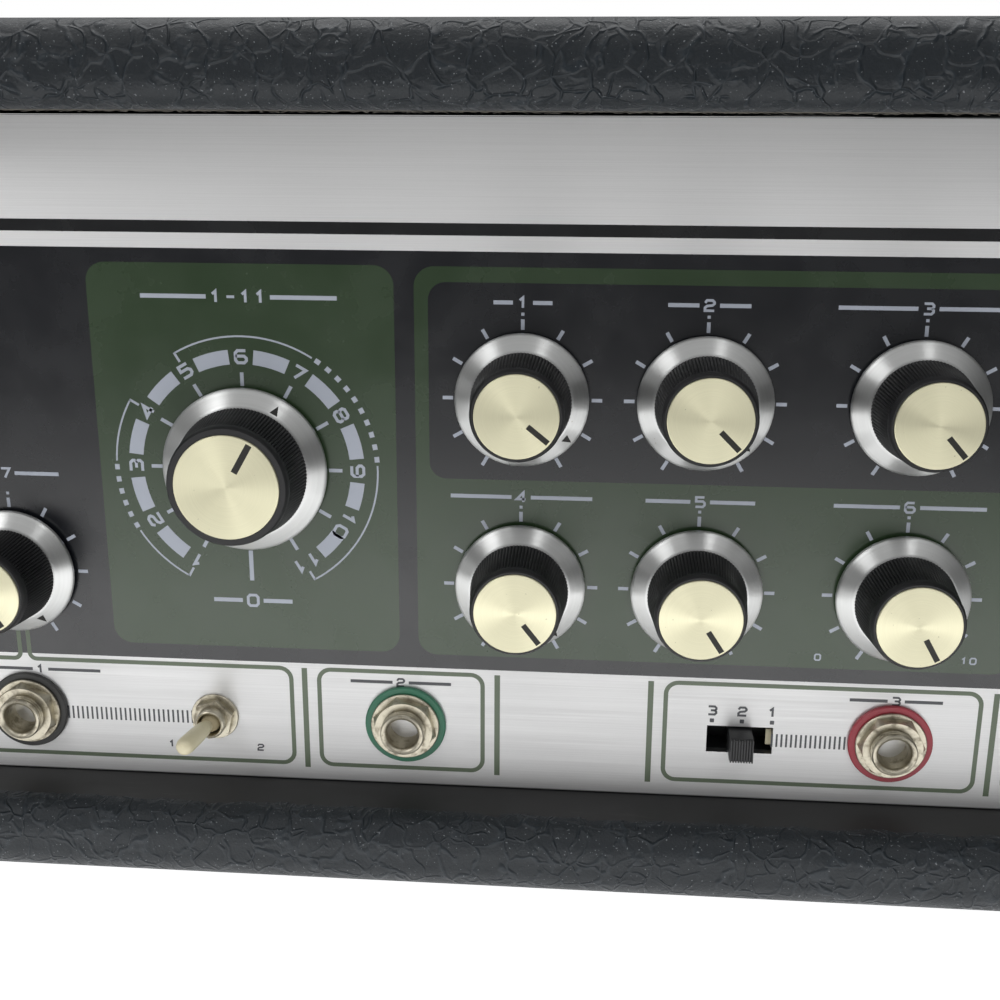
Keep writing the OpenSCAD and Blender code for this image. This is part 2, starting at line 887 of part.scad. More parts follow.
module slider() color("#1a1a1b")
  on_panel(slide_x, slide_z)
    difference() {
      translate([-slider_w / 2, -slider_h / 2, -slider_in])
        cube([slider_w, slider_h, slider_in + slider_out]);
      for (x = [-1.5 : 1 : 1.5])
        translate([x * slider_w / 5 - 0.25, -slider_h, slider_out - 0.5])
          cube([0.5, 2 * slider_h, 1]);
    }

// ---- Meter and lamp ----

window_w = vu_w - 2 * vu_rim;
window_h = vu_h - 2 * vu_rim;
needle_z = -4;                      // plane of the needle behind the panel front
scale_z = -6;                       // plane of the scale plate
needle_y = -window_h / 2 + 2.5;     // pivot above the window's lower edge

// Case with its bezel and the scale plate inside
module vu_case() color("#18191b")
  on_panel(-vu_x, vu_up) {
    difference() {
      union() {
        linear_extrude(2.5)
          rounded(vu_w, vu_h, 2);
        translate([0, 0, -vu_d / 2])
          cube([vu_w - 4, vu_h - 4, vu_d], center = true);
      }
      translate([-window_w / 2, -window_h / 2, -vu_d + 3])
        cube([window_w, window_h, vu_d]);
    }
    difference() {
      translate([-window_w / 2 + slip, -window_h / 2 + slip, scale_z - 0.8])
        cube([window_w - 2 * slip, window_h - 2 * slip, 0.8]);
      translate([0, needle_y, scale_z - 2])
        cylinder(r = 0.8 + run, h = 4);
    }
  }

module vu_needle() color("#d03a28")
  on_panel(-vu_x, vu_up)
    translate([0, needle_y, needle_z])
      rotate([0, 0, needle_sweep / 2]) {
        translate([0, 0, -0.8])
          cylinder(r = 2, h = 1.6);
        translate([0, 0, scale_z - needle_z - 4])
          cylinder(r = 0.8, h = needle_z - scale_z + 4);
        translate([-0.4, 0, -0.3])
          cube([0.8, needle_len, 0.6]);
      }

module vu_lens() color("#d8e4e8", 0.35)
  on_panel(-vu_x, vu_up)
    translate([-window_w / 2 + run, -window_h / 2 + run, 0.8])
      cube([window_w - 2 * run, window_h - 2 * run, 1.2]);

module peak_lamp() color("#b4281e")
  on_panel(-lamp_x, vu_up) {
    translate([0, 0, -10])
      cylinder(r = lamp_r, h = 11);
    cylinder(r = lamp_r + 1.2, h = 1);
    translate([0, 0, 1])
      sphere(lamp_r - 0.2);
  }

// ---- Chassis and rear ----

tab_w = 12;              // width of the tabs that the panel is screwed to
tab_over = 2.8;          // tab beyond the middle of its screw

// Folded steel tray: floor, side walls, flanges under the deck and behind the panel
module chassis() color("#8c9094")
  difference() {
    union() {
      span([-chassis_w / 2, panel_back, floor_z], [chassis_w / 2, rear_y - 17, floor_z + sheet_t]);
      for (sx = [-1, 1])
        mirror([sx > 0 ? 0 : 1, 0, 0]) {
          span([chassis_w / 2 - sheet_t, panel_back, floor_z],
               [chassis_w / 2, rear_y - 17, deck_z - deck_t]);
          span([chassis_w / 2 - 10, deck_front, deck_z - deck_t - sheet_t],
               [chassis_w / 2, deck_back, deck_z - deck_t]);
          for (z = [[floor_z, panel_z + panel_screw_up + tab_over],
                    [deck_z - deck_t - tab_w, panel_z + panel_h - panel_screw_up + tab_over]])
            span([chassis_w / 2 - tab_w, panel_back, z[0]],
                 [chassis_w / 2, panel_back + sheet_t, z[1]]);
        }
    }
    at_panel_screws()
      cylinder(r = panel_screw_r + run, h = 20, center = true);
  }

fuse_x = 150;
gland_x = 112;
fitting_up = 31;
fitting_z = floor_z + fitting_up;
fuse_r = 7;
fuse_body = 22;          // length inside the case
fuse_cap = 8;
gland_r = 9;
gland_body = 6;
cord_hole_r = 3.6;
VENTS = 12;
vent_w = 3;
vent_step = 8;
vent_h = 36;

module rear_panel() color("#26282a")
  difference() {
    span([-inner_w / 2 + air, rear_y, floor_z + air], [inner_w / 2 - air, rear_out, roof_z - air]);
    at_rear_screws()
      cylinder(r = panel_screw_r + run, h = 10, center = true);
    for (x = REAR_JACK_X)
      on_rear(x, rear_jack_z)
        cylinder(r = jack_bush_r + run, h = 10, center = true);
    on_rear(fuse_x, fitting_z)
      cylinder(r = fuse_r - 1 + run, h = 10, center = true);
    on_rear(gland_x, fitting_z)
      cylinder(r = gland_r - 2 + run, h = 10, center = true);
    for (i = [0 : VENTS - 1])
      translate([inner_w / 2 - 130.5 + vent_step * i, rear_y - 1, roof_z - vent_h - 33])
        cube([vent_w, rear_t + 2, vent_h]);
  }

// Fuse holder with its cap, and the bush of the supply cord
module rear_fittings() color("#17181a") {
  on_rear(fuse_x, fitting_z) {
    translate([0, 0, -rear_t - fuse_body])
      cylinder(r = fuse_r - 1, h = fuse_body + rear_t + 1);
    cylinder(r = fuse_r + 2, h = 1.5);
    cylinder(r = fuse_r, h = fuse_cap);
  }
  on_rear(gland_x, fitting_z)
    difference() {
      union() {
        translate([0, 0, -rear_t - gland_body])
          cylinder(r = gland_r - 2, h = gland_body + rear_t + 1);
        cylinder(r = gland_r, h = 3);
        cylinder(r1 = gland_r - 1.5, r2 = gland_r - 3, h = 8);
      }
      translate([0, 0, -rear_t - 10])
        cylinder(r = cord_hole_r, h = 30);
    }
}

// ---- Tape deck ----

bearing_r = 7;
bearing_down = 12;       // length under the plate

notch_air = 2;           // clearance of the notch over the meter

// Plate with a notch over the meter, the capstan's bearing and the pinch arm's post
module deck_plate() color("#54585c") {
  difference() {
    span([-chassis_w / 2, deck_front, deck_z - deck_t], [chassis_w / 2, deck_back, deck_z]);
    span([mode_x - vu_x - vu_w / 2 - notch_air, deck_front - 1, deck_z - deck_t - 1],
         [mode_x - vu_x + vu_w / 2 + notch_air, panel_y + vu_d + notch_air, deck_z + 1]);
    translate([-capstan_x, capstan_y, deck_z])
      cylinder(r = bearing_r + run, h = 3 * deck_t, center = true);
  }
  translate([arm_x, arm_y, deck_z - 1])
    cylinder(r = 3, h = 10);
  translate([-capstan_x, capstan_y, 0])
    difference() {
      union() {
        translate([0, 0, deck_z - deck_t - bearing_down])
          cylinder(r = bearing_r, h = deck_t + bearing_down + 1);
        translate([0, 0, deck_z + run])
          cylinder(r = bearing_r + 2, h = 2);
      }
      cylinder(r = capstan_r + run, h = 2 * deck_z);
    }
}

tank_floor = tape_up - 0.3;
slot_w = 5;

// Open tray that holds the folded tape, with two slots for the tape
module tape_tank() color("#202224")
  difference() {
    span([-tank_w / 2, tank_y, deck_z], [tank_w / 2, tank_y + tank_d, deck_z + tank_h]);
    span([-tank_w / 2 + tank_wall, tank_y + tank_wall, deck_z + tank_floor],
         [tank_w / 2 - tank_wall, tank_y + tank_d - tank_wall, deck_z + tank_h + 1]);
    for (sx = [-1, 1])
      span([sx * tape_x - slot_w / 2, tank_y - 1, deck_z + tank_floor],
           [sx * tape_x + slot_w / 2, tank_y + tank_wall + 1, deck_z + tank_h + 1]);
  }

module tank_cover() color("#dfe8ea", 0.3)
  span([-tank_w / 2, tank_y, deck_z + tank_h], [tank_w / 2, tank_y + tank_d, deck_z + tank_h + cover_t]);

// Arc of points round a centre
function arc(cx, cy, r, a0, a1, n) = [
  for (i = [0 : n]) let (a = a0 + (a1 - a0) * i / n) [cx + r * cos(a), cy + r * sin(a)]
];

// Folds of tape in the tank, from right to left
fold_x = tape_x - 8;
fold_step = 2 * fold_x / folds;
fold_r = fold_step / 2;
fold_low = tank_y + tank_wall + 6;
fold_high = tank_y + tank_d - tank_wall - 5;

function fold(j) = let (cx = fold_x - fold_step * (j + 0.5), up = j % 2 == 0)
  arc(cx, up ? fold_high - fold_r : fold_low + fold_r, fold_r, 0, up ? 180 : -180, 6);

// Closed path of the tape, anticlockwise from above
tape_path = concat(
  [[-guide_x, tape_y]],
  arc(guide_x, guide_y, bend_r, -90, 0, 6),
  [[tape_x, tank_y + tank_wall + 1], [fold_x, fold_low + fold_r]],
  [for (j = [0 : folds - 1]) each fold(j)],
  [[-fold_x, fold_low + fold_r], [-tape_x, tank_y + tank_wall + 1]],
  [for (p = arc(-guide_x, guide_y, bend_r, 180, 270, 6)) if (p[1] > tape_y + 0.01) p]
);

// Path moved sideways by d, along the normal between each point's neighbours
function beside(path, d) = let (n = len(path)) [
  for (i = [0 : n - 1])
    let (t = path[(i + 1) % n] - path[(i + n - 1) % n], l = norm(t))
      path[i] + d * [t[1], -t[0]] / l
];

module tape_loop() color("#3a2418")
  translate([0, 0, tape_z])
    linear_extrude(tape_w)
      difference() {
        polygon(beside(tape_path, tape_t / 2));
        polygon(beside(tape_path, -tape_t / 2));
      }

// Erase, record and three playback heads
module heads() color("#b8bbbd")
  for (x = HEAD_X)
    intersection() {
      span([x - head_w / 2, tape_y - tape_t / 2 - air - head_d, deck_z + bridge_t],
           [x + head_w / 2, tape_y - tape_t / 2 - air, deck_z + bridge_t + head_h]);
      translate([x, tape_y - tape_t / 2 - air - head_d, deck_z])
        cylinder(r = head_d, h = 2 * head_h);
    }

// Flanged guide post
module guide(r) {
  cylinder(r = r, h = tape_up + tape_w + 3);
  cylinder(r = r + 2, h = tape_up - 0.5);
  translate([0, 0, tape_up + tape_w + 0.5])
    cylinder(r = r + 2, h = 1);
}

bridge_left = 28;        // ends of the bridge beyond the outer heads
bridge_right = 23;
bridge_d = 18;           // its depth in front of the tape
post_left = 21;          // small posts beyond the outer heads
post_right = 15;

// Bridge under the heads, and the guide posts
module tape_guides() color("#c3c5c6") {
  span([HEAD_X[4] - bridge_left, tape_y - bridge_d, deck_z],
       [HEAD_X[0] + bridge_right, tape_y + 2, deck_z + bridge_t]);
  for (x = [HEAD_X[0] + post_right, HEAD_X[4] - post_left])
    translate([x, tape_y - tape_t / 2 - air - 3, deck_z])
      guide(3);
  for (sx = [-1, 1])
    translate([sx * guide_x, guide_y, deck_z])
      guide(guide_r);
}

capstan_up = 16;
collar = 5;              // shaft beyond the wheels

// Capstan shaft with its flywheel
module capstan() color("#9fa3a6")
  translate([-capstan_x, capstan_y, 0]) {
    translate([0, 0, wheel_z - collar])
      cylinder(r = capstan_r, h = deck_z + capstan_up - wheel_z + collar);
    difference() {
      translate([0, 0, wheel_z])
        cylinder(r = flywheel_r, h = flywheel_t);
      translate([0, 0, wheel_z - 1])
        rotate_extrude()
          translate([9, 0])
            square([flywheel_r - 14, 4]);
    }
  }

// Pinch arm with its hub and the roller's axle
module pinch_arm() color("#8e9296") {
  difference() {
    union() {
      translate([arm_x, arm_y, deck_z + air])
        cylinder(r = 6, h = 7.7);
      translate([arm_x, arm_y, deck_z + 2.5])
        rotate([0, 0, 180 - arm_swing])
          translate([0, -4, 0])
            cube([arm_len, 8, 2.5]);
      translate([roller_x, roller_y, deck_z + 2.5])
        cylinder(r = 4.6, h = 2.5);
    }
    translate([arm_x, arm_y, deck_z])
      cylinder(r = 3 + run, h = 12);
  }
  translate([roller_x, roller_y, deck_z + 4])
    cylinder(r = 2, h = roller_z + roller_h - deck_z - 2.5);
  translate([roller_x, roller_y, roller_z + roller_h + air])
    cylinder(r = 3.4, h = 1);
}

module pinch_roller() color("#1d1d1e")
  translate([roller_x, roller_y, roller_z])
    difference() {
      cylinder(r = roller_r, h = roller_h);
      translate([0, 0, -1])
        cylinder(r = 2 + run, h = roller_h + 2);
    }

shaft_in = 12;           // motor shaft inside the motor

// Motor hung from the deck on three posts
module motor() color("#777b7f")
  translate([motor_x, capstan_y, 0]) {
    difference() {
      union() {
        translate([0, 0, motor_top - motor_len])
          cylinder(r = motor_r, h = motor_len);
        translate([0, 0, motor_top - 1])
          cylinder(r = 6, h = 2.5);
      }
      translate([0, 0, motor_top - shaft_in - slip])
        cylinder(r = 2 + run, h = shaft_in + 8);
    }
    for (a = [0, 110, 250])
      rotate([0, 0, a])
        translate([motor_r - 5, 0, motor_top - 1])
          cylinder(r = 3, h = deck_z - deck_t - motor_top + 1);
  }

module motor_pulley() color("#c8b87a")
  translate([motor_x, capstan_y, 0]) {
    translate([0, 0, motor_top - shaft_in])
      cylinder(r = 2, h = shaft_in + collar + flywheel_t + 2);
    translate([0, 0, wheel_z])
      cylinder(r = pulley_r, h = flywheel_t);
    for (z = [wheel_z, wheel_z + flywheel_t - 1])
      translate([0, 0, z])
        cylinder(r = pulley_r + 1.5, h = 1);
  }

// Outline of an open belt round two wheels, from the left wheel's centre
function belt_outline(r_left, r_right) = let (a = acos((r_left - r_right) / belt_span))
  concat(arc(0, 0, r_left, a, 360 - a, 40), arc(belt_span, 0, r_right, -a, a, 16));

module belt() color("#17171a")
  translate([-capstan_x, capstan_y, wheel_z + (flywheel_t - belt_w) / 2])
    linear_extrude(belt_w)
      difference() {
        polygon(belt_outline(flywheel_r + air + belt_t, pulley_r + air + belt_t));
        polygon(belt_outline(flywheel_r + air, pulley_r + air));
      }

// ---- Electronics ----

chassis_top = floor_z + sheet_t;
chassis_x = chassis_w / 2;
reverb_w = 42;
reverb_h = 33;
reverb_lip = 3;
reverb_in = 22;                                // left end, clear of the side wall
reverb_x = reverb_in - chassis_x;
service_y = rear_y - jack_d - 1 - reverb_w;    // front of the pieces in front of the rear jacks

// Closed tank of the reverb springs, with its folded lip
module reverb_tank() color("#6f7478") {
  span([reverb_x, service_y, chassis_top],
       [reverb_x + reverb_len, service_y + reverb_w, chassis_top + reverb_h]);
  span([reverb_x - reverb_lip, service_y - reverb_lip, chassis_top],
       [reverb_x + reverb_len + reverb_lip, service_y + reverb_w + reverb_lip, chassis_top + 2]);
}

core_d = core_w * 0.52;
core_h = core_w * 0.88;
coil_d = core_h;
coil_h = core_w * 0.56;
core_leg = core_w * 0.16;

// Laminated core with its winding
module transformer() color("#3c3f42")
  translate([chassis_x - core_w / 2 - 8, service_y + reverb_w / 2, chassis_top]) {
    translate([-core_w / 2, -core_d / 2, 0])
      cube([core_w, core_d, core_h]);
    translate([core_leg - core_w / 2, -coil_d / 2, core_leg])
      cube([core_w - 2 * core_leg, coil_d, coil_h]);
  }

board_up = 10;
pcb_t = 1.6;
board_front = panel_back + jack_d + 15;
board_back = service_y - 25;
board_post_r = 3;
board_in = 6;                                  // posts' distance from a board's edges
part_r = 6;
part_h = 16;
part_step = 24;
BOARD_X = [[64 - chassis_x, 50], [74, chassis_x - 24]];

// Two boards on posts, with their tallest parts in a row
module circuit_boards() color("#7a6a3a")
  for (b = BOARD_X) {
    span([b[0], board_front, chassis_top + board_up], [b[1], board_back, chassis_top + board_up + pcb_t]);
    for (x = [b[0] + board_in, b[1] - board_in], y = [board_front + board_in, board_back - board_in])
      translate([x, y, chassis_top])
        cylinder(r = board_post_r, h = board_up + 1);
    for (x = [b[0] + part_step : part_step : b[1] - part_step / 2])
      translate([x, board_back - 5 * board_in, chassis_top + board_up + 1])
        cylinder(r = part_r, h = part_h);
  }

cabinet();
lid();
hinge_leaves_fixed();
hinge_leaves_lid();
feet();
handle_straps();
handle_caps();
cabinet_screws();
front_panel();
panel_screws();
chassis();
rear_panel();
rear_fittings();
vu_case();
vu_needle();
vu_lens();
peak_lamp();
potentiometers();
mode_switch();
jacks();
jack_washers();
switch_bodies();
toggle_lever();
power_lever();
slider();
deck_plate();
tape_tank();
tank_cover();
tape_loop();
heads();
tape_guides();
capstan();
pinch_arm();
pinch_roller();
motor();
motor_pulley();
belt();
reverb_tank();
transformer();
circuit_boards();
mode_grip();  // mode_knob
small_grip(BASS);  // bass_knob
small_grip(TREBLE);  // treble_knob
small_grip(REVERB);  // reverb_knob
small_grip(RATE);  // rate_knob
small_grip(INTENSITY);  // intensity_knob
small_grip(ECHO);  // echo_knob
small_grip(INSTRUMENT);  // instrument_knob
small_grip(MIC_1);  // mic_1_knob
small_grip(MIC_2);  // mic_2_knob
mode_metal();  // mode_knob_metal
small_metal(BASS);  // bass_knob_metal
small_metal(TREBLE);  // treble_knob_metal
small_metal(REVERB);  // reverb_knob_metal
small_metal(RATE);  // rate_knob_metal
small_metal(INTENSITY);  // intensity_knob_metal
small_metal(ECHO);  // echo_knob_metal
small_metal(INSTRUMENT);  // instrument_knob_metal
small_metal(MIC_1);  // mic_1_knob_metal
small_metal(MIC_2);  // mic_2_knob_metal
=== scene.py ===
"""Looks of a tape echo unit: covered case, printed aluminium panel, fluted knobs and a tape deck.

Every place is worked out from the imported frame. Panel places are in millimetres from the mode
knob: x to the right, z up, h out of the panel. Everything in the scene is in metres.
"""

import json
import logging
import math
from dataclasses import dataclass
from enum import Enum
from typing import Iterable, Sequence

import bmesh
import bpy
from mathutils import Matrix, Vector

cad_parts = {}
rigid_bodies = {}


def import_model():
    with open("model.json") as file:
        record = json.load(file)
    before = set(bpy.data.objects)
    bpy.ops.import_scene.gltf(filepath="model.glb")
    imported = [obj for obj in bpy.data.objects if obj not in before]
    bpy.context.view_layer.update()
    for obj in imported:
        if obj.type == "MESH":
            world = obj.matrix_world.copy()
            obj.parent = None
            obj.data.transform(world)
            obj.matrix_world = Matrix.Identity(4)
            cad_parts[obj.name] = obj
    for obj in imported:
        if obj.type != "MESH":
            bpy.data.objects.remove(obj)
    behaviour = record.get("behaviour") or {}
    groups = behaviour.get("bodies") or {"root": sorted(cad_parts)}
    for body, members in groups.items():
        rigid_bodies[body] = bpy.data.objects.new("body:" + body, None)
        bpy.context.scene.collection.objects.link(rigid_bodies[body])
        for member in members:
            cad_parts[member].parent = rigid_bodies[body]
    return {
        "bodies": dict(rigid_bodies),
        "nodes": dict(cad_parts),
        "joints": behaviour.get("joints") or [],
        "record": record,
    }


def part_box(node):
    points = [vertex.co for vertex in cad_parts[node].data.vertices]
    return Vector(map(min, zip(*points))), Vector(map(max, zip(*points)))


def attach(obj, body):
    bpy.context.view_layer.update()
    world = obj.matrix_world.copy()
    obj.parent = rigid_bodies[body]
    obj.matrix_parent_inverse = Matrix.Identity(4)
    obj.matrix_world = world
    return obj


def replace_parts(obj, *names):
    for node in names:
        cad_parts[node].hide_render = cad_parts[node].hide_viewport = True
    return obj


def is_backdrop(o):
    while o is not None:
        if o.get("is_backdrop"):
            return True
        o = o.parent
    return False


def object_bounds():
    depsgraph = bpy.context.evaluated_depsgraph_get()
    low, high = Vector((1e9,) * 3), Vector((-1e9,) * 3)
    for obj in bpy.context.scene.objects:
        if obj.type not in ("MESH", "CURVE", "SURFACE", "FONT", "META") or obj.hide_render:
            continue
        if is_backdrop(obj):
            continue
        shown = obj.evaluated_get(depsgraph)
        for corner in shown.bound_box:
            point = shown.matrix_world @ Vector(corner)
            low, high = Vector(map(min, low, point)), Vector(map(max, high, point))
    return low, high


LOG = logging.getLogger("tape_echo")
MM = 0.001
TO_METRES = Matrix.Scale(MM, 4)

BMesh = bmesh.types.BMesh
Material = bpy.types.Material
Object = bpy.types.Object
Socket = bpy.types.NodeSocket
Point = tuple[float, float]
Colour = tuple[float, float, float]


def hex_colour(code: str) -> Colour:
    """Linear colour of a six-digit sRGB code."""
    parts = [int(code[i:i + 2], 16) / 255 for i in (0, 2, 4)]
    return tuple(c / 12.92 if c <= 0.04045 else ((c + 0.055) / 1.055) ** 2.4 for c in parts)


# ---------------------------------------------------------------- materials


class Shader:
    """A material being built: short calls for adding and linking its nodes."""

    def __init__(self, name: str) -> None:
        """Starts a material that has only its surface shader."""
        self.material = bpy.data.materials.new(name)
        self.material.use_nodes = True
        self.tree = self.material.node_tree
        self.surface = self.tree.nodes["Principled BSDF"]
        self._place = None

    def add(self, kind: str, inputs: dict | None = None, **settings) -> bpy.types.Node:
        """Adds a node.

        Args:
            kind: the node's type without its ShaderNode prefix.
            inputs: values or output sockets for its inputs, by name or number.
            settings: the node's own properties.

        Returns:
            The new node.
        """
        node = self.tree.nodes.new("ShaderNode" + kind)
        for key, value in settings.items():
            setattr(node, key, value)
        for key, value in (inputs or {}).items():
            self.feed(node.inputs[key], value)
        return node

    def feed(self, socket: Socket, value) -> None:
        """Links an output to a socket, or sets the socket's value."""
        if isinstance(value, Socket):
            self.tree.links.new(value, socket)
        else:
            socket.default_value = value

    def place(self, scale: Sequence[float] = (1, 1, 1), centre: Sequence[float] = (0, 0, 0)) -> Socket:
        """Object coordinates, less a centre, times a scale."""
        if self._place is None:
            self._place = self.add("TexCoord").outputs["Object"]
        moved = self.add("VectorMath", {0: self._place, 1: centre}, operation="SUBTRACT")
        return self.add("VectorMath", {0: moved.outputs[0], 1: scale}, operation="MULTIPLY").outputs[0]

    def noise(self, vector, scale: float, detail: float = 3, rough: float = 0.55) -> Socket:
        """Value of a noise texture."""
        return self.add("TexNoise", {"Vector": vector, "Scale": scale, "Detail": detail,
                                     "Roughness": rough}).outputs["Fac"]

    def math(self, operation: str, a, b=0.0, clamp: bool = False) -> Socket:
        """Result of one sum on two values or sockets."""
        return self.add("Math", {0: a, 1: b}, operation=operation, use_clamp=clamp).outputs[0]

    def ramp(self, value, low: float, high: float, to_low: float = 0.0, to_high: float = 1.0) -> Socket:
        """Smooth step of a value from one range to another."""
        return self.add("MapRange", {"Value": value, "From Min": low, "From Max": high, "To Min": to_low,
                                     "To Max": to_high}, interpolation_type="SMOOTHSTEP").outputs[0]

    def blend(self, factor, a, b, how: str = "MIX") -> Socket:
        """Mixes two colours."""
        node = self.add("Mix", data_type="RGBA", blend_type=how)
        for key, value in ((0, factor), (6, a), (7, b)):
            if isinstance(value, tuple) and len(value) == 3:
                value = (*value, 1.0)
            self.feed(node.inputs[key], value)
        return node.outputs[2]

    def bump(self, height, strength: float, distance: float, onto=None) -> Socket:
        """Bump from a height, on top of another normal if one is given."""
        node = self.add("Bump", {"Height": height, "Strength": strength, "Distance": distance})
        if onto is not None:
            self.feed(node.inputs["Normal"], onto)
        return node.outputs[0]

    def set(self, **values) -> None:
        """Sets or links the surface shader's sockets; underscores stand for spaces."""
        for key, value in values.items():
            if isinstance(value, tuple) and len(value) == 3:
                value = (*value, 1.0)
            self.feed(self.surface.inputs[key.replace("_", " ")], value)


@dataclass(frozen=True)
class Vinyl:
    """Dark vinyl cloth with a net of thin raised creases, painted lighter along their ridges as a painted
    highlight, and plain black paint inside the case.
    """

    name: str = "vinyl_cloth"
    dark: str = "10161b"
    # light: colour of the crease ridges, a painted highlight where they catch the light
    light: str = "1c252c"
    shine: float = 0.42
    drift: float = 9.0 * MM
    cell: float = 4.6 * MM
    crease: float = 0.42 * MM
    inside_half: float = 1.0
    inside_low: float = 1.0
    inside_high: float = -1.0
    inside_front: float = 0.0

    def build(self) -> Material:
        """Returns the material; the inside_ sizes bound the painted inside of the case."""
        s = Shader(self.name)
        patch = s.noise(s.place(), 150.0, 2)
        drift = s.add("TexNoise", {"Vector": s.place(), "Scale": 110.0, "Detail": 2.0}).outputs["Color"]
        even = s.add("VectorMath", {0: drift, 1: (0.5, 0.5, 0.5)}, operation="SUBTRACT").outputs[0]
        bent = s.add("VectorMath", {0: even, 1: (self.drift,) * 3, 2: s.place()},
                     operation="MULTIPLY_ADD").outputs[0]
        net = s.math("MULTIPLY", self._ridges(s, bent, 1.0, 0.13), s.ramp(patch, 0.42, 0.60))
        broad = s.math("MULTIPLY", self._ridges(s, bent, 0.6, 0.08), s.ramp(patch, 0.60, 0.42))
        creases = s.math("MAXIMUM", net, broad)
        fine = s.noise(s.place(), 1900.0, 3, 0.6)
        swell = s.math("MULTIPLY", s.noise(s.place(), 190.0, 1), 1.1)
        height = s.math("ADD", s.math("ADD", creases, swell), s.math("MULTIPLY", fine, 0.42))
        # The creases are painted lighter, a painted highlight on their ridges; the fine grain adds random
        # lighter specks.
        tone = s.math("ADD", s.math("MULTIPLY", creases, 0.5), s.math("MULTIPLY", fine, 0.5), clamp=True)
        cloth = s.blend(tone, hex_colour(self.dark), hex_colour(self.light))
        lint = s.ramp(s.noise(s.place(), 2400.0, 0), 0.76, 0.81, 0.0, 0.6)
        cloth = s.blend(lint, cloth, hex_colour("84888c"))
        inside = self._inside(s)
        scuff = s.ramp(s.noise(s.place((60, 500, 60)), 1.0, 3), 0.64, 0.70, 0.0, 0.30)
        paint = s.blend(scuff, hex_colour("121213"), hex_colour("343230"))
        s.set(Base_Color=s.blend(inside, cloth, paint))
        s.set(Specular_IOR_Level=s.ramp(inside, 0.0, 1.0, self.shine, 0.5))
        rough = s.ramp(creases, 0.0, 1.2, 0.48, 0.40)
        s.set(Roughness=s.math("MAXIMUM", rough, s.math("MULTIPLY", inside, 0.5)))
        shown = s.math("MULTIPLY", height, s.math("SUBTRACT", 1.0, inside))
        s.set(Normal=s.bump(shown, 0.85, self.crease))
        return s.material

    def _ridges(self, s: Shader, bent, share: float, width: float) -> Socket:
        """Thin ridges along the borders of bent cells; share is the cells' fineness."""
        edge = s.add("TexVoronoi", {"Vector": bent, "Scale": share / self.cell}, feature="DISTANCE_TO_EDGE")
        return s.math("POWER", s.ramp(edge.outputs["Distance"], 0.0, width, 1.0, 0.0), 1.4)

    def _inside(self, s: Shader) -> Socket:
        """1 on the painted faces inside the case, 0 on the covered ones."""
        xyz = s.add("SeparateXYZ", {0: s.place()})
        between = s.math("LESS_THAN", s.math("ABSOLUTE", xyz.outputs[0]), self.inside_half)
        above = s.math("GREATER_THAN", xyz.outputs[2], self.inside_low)
        below = s.math("LESS_THAN", xyz.outputs[2], self.inside_high)
        torn = s.math("MULTIPLY", s.math("SUBTRACT", s.noise(s.place(), 160.0, 4), 0.5), 6.0 * MM)
        behind = s.math("GREATER_THAN", s.math("ADD", xyz.outputs[1], torn), self.inside_front)
        return s.math("MULTIPLY", s.math("MULTIPLY", between, above), s.math("MULTIPLY", below, behind))


class Grain(Enum):
    """Direction that a metal was brushed in, as stretched pattern scales."""

    ALONG_X = (14.0, 500.0, 2600.0)
    FINE_X = (20.0, 900.0, 5200.0)
    ALONG_Y = (900.0, 14.0, 900.0)
    NONE = (700.0, 700.0, 700.0)


@dataclass(frozen=True)
class BrushedMetal:
    """Bare metal with a brushed grain, light soiling and a soft shine."""

    name: str
    colour: str = "c8cacc"
    rough: float = 0.36
    grain: Grain = Grain.ALONG_X
    depth: float = 0.012 * MM
    soil: float = 0.25
    aniso: float = 0.0
    streaks: float = 0.88

    def build(self) -> Material:
        """Returns the material. With aniso it needs the piece's "flat" map, with u along the grain."""
        s = Shader(self.name)
        streak = s.noise(s.place(self.grain.value), 1.0, 4, 0.65)
        if self.aniso:
            s.set(Anisotropic=self.aniso, Anisotropic_Rotation=0.25)
            s.set(Tangent=s.add("Tangent", direction_type="UV_MAP", uv_map="flat").outputs[0])
        base = hex_colour(self.colour)
        dark = tuple(c * self.streaks for c in base)
        tone = s.blend(s.ramp(streak, 0.3, 0.7), dark, base)
        cloud = s.ramp(s.noise(s.place(), 45.0, 4), 0.55, 0.85, 0.0, self.soil)
        s.set(Base_Color=s.blend(cloud, tone, tuple(c * 0.6 for c in base)), Metallic=1.0)
        s.set(Roughness=s.ramp(streak, 0.25, 0.75, self.rough + 0.07, self.rough - 0.05))
        s.set(Normal=s.bump(streak, 0.35, self.depth))
        return s.material


@dataclass(frozen=True)
class SpunMetal:
    """Turned metal: fine rings round an axis, drawn from the piece's own UV map."""

    name: str
    colour: str
    rough: float = 0.34
    ring: float = 6500.0
    aniso: float = 0.9
    spots: str = "8c8468"

    def build(self) -> Material:
        """Returns the material. The map's u runs round the axis and v along the radius."""
        s = Shader(self.name)
        uv = s.add("UVMap", uv_map="turned").outputs[0]
        part = s.add("SeparateXYZ", {0: uv})
        line = s.add("CombineXYZ", {0: s.math("MULTIPLY", part.outputs[0], 0.35),
                                    1: s.math("MULTIPLY", part.outputs[1], self.ring)}).outputs[0]
        streak = s.noise(line, 1.0, 2, 0.5)
        base = hex_colour(self.colour)
        tone = s.blend(s.ramp(streak, 0.3, 0.7), tuple(c * 0.965 for c in base), base)
        spot = s.ramp(s.noise(s.place(), 1500.0, 1), 0.775, 0.81, 0.0, 0.5)
        s.set(Base_Color=s.blend(spot, tone, hex_colour(self.spots)), Metallic=1.0)
        s.set(Roughness=s.ramp(streak, 0.25, 0.75, self.rough + 0.03, self.rough - 0.02))
        s.set(Anisotropic=self.aniso, Anisotropic_Rotation=0.25, Normal=s.bump(streak, 0.12, 0.003 * MM))
        s.set(Tangent=s.add("Tangent", direction_type="UV_MAP", uv_map="turned").outputs[0])
        return s.material


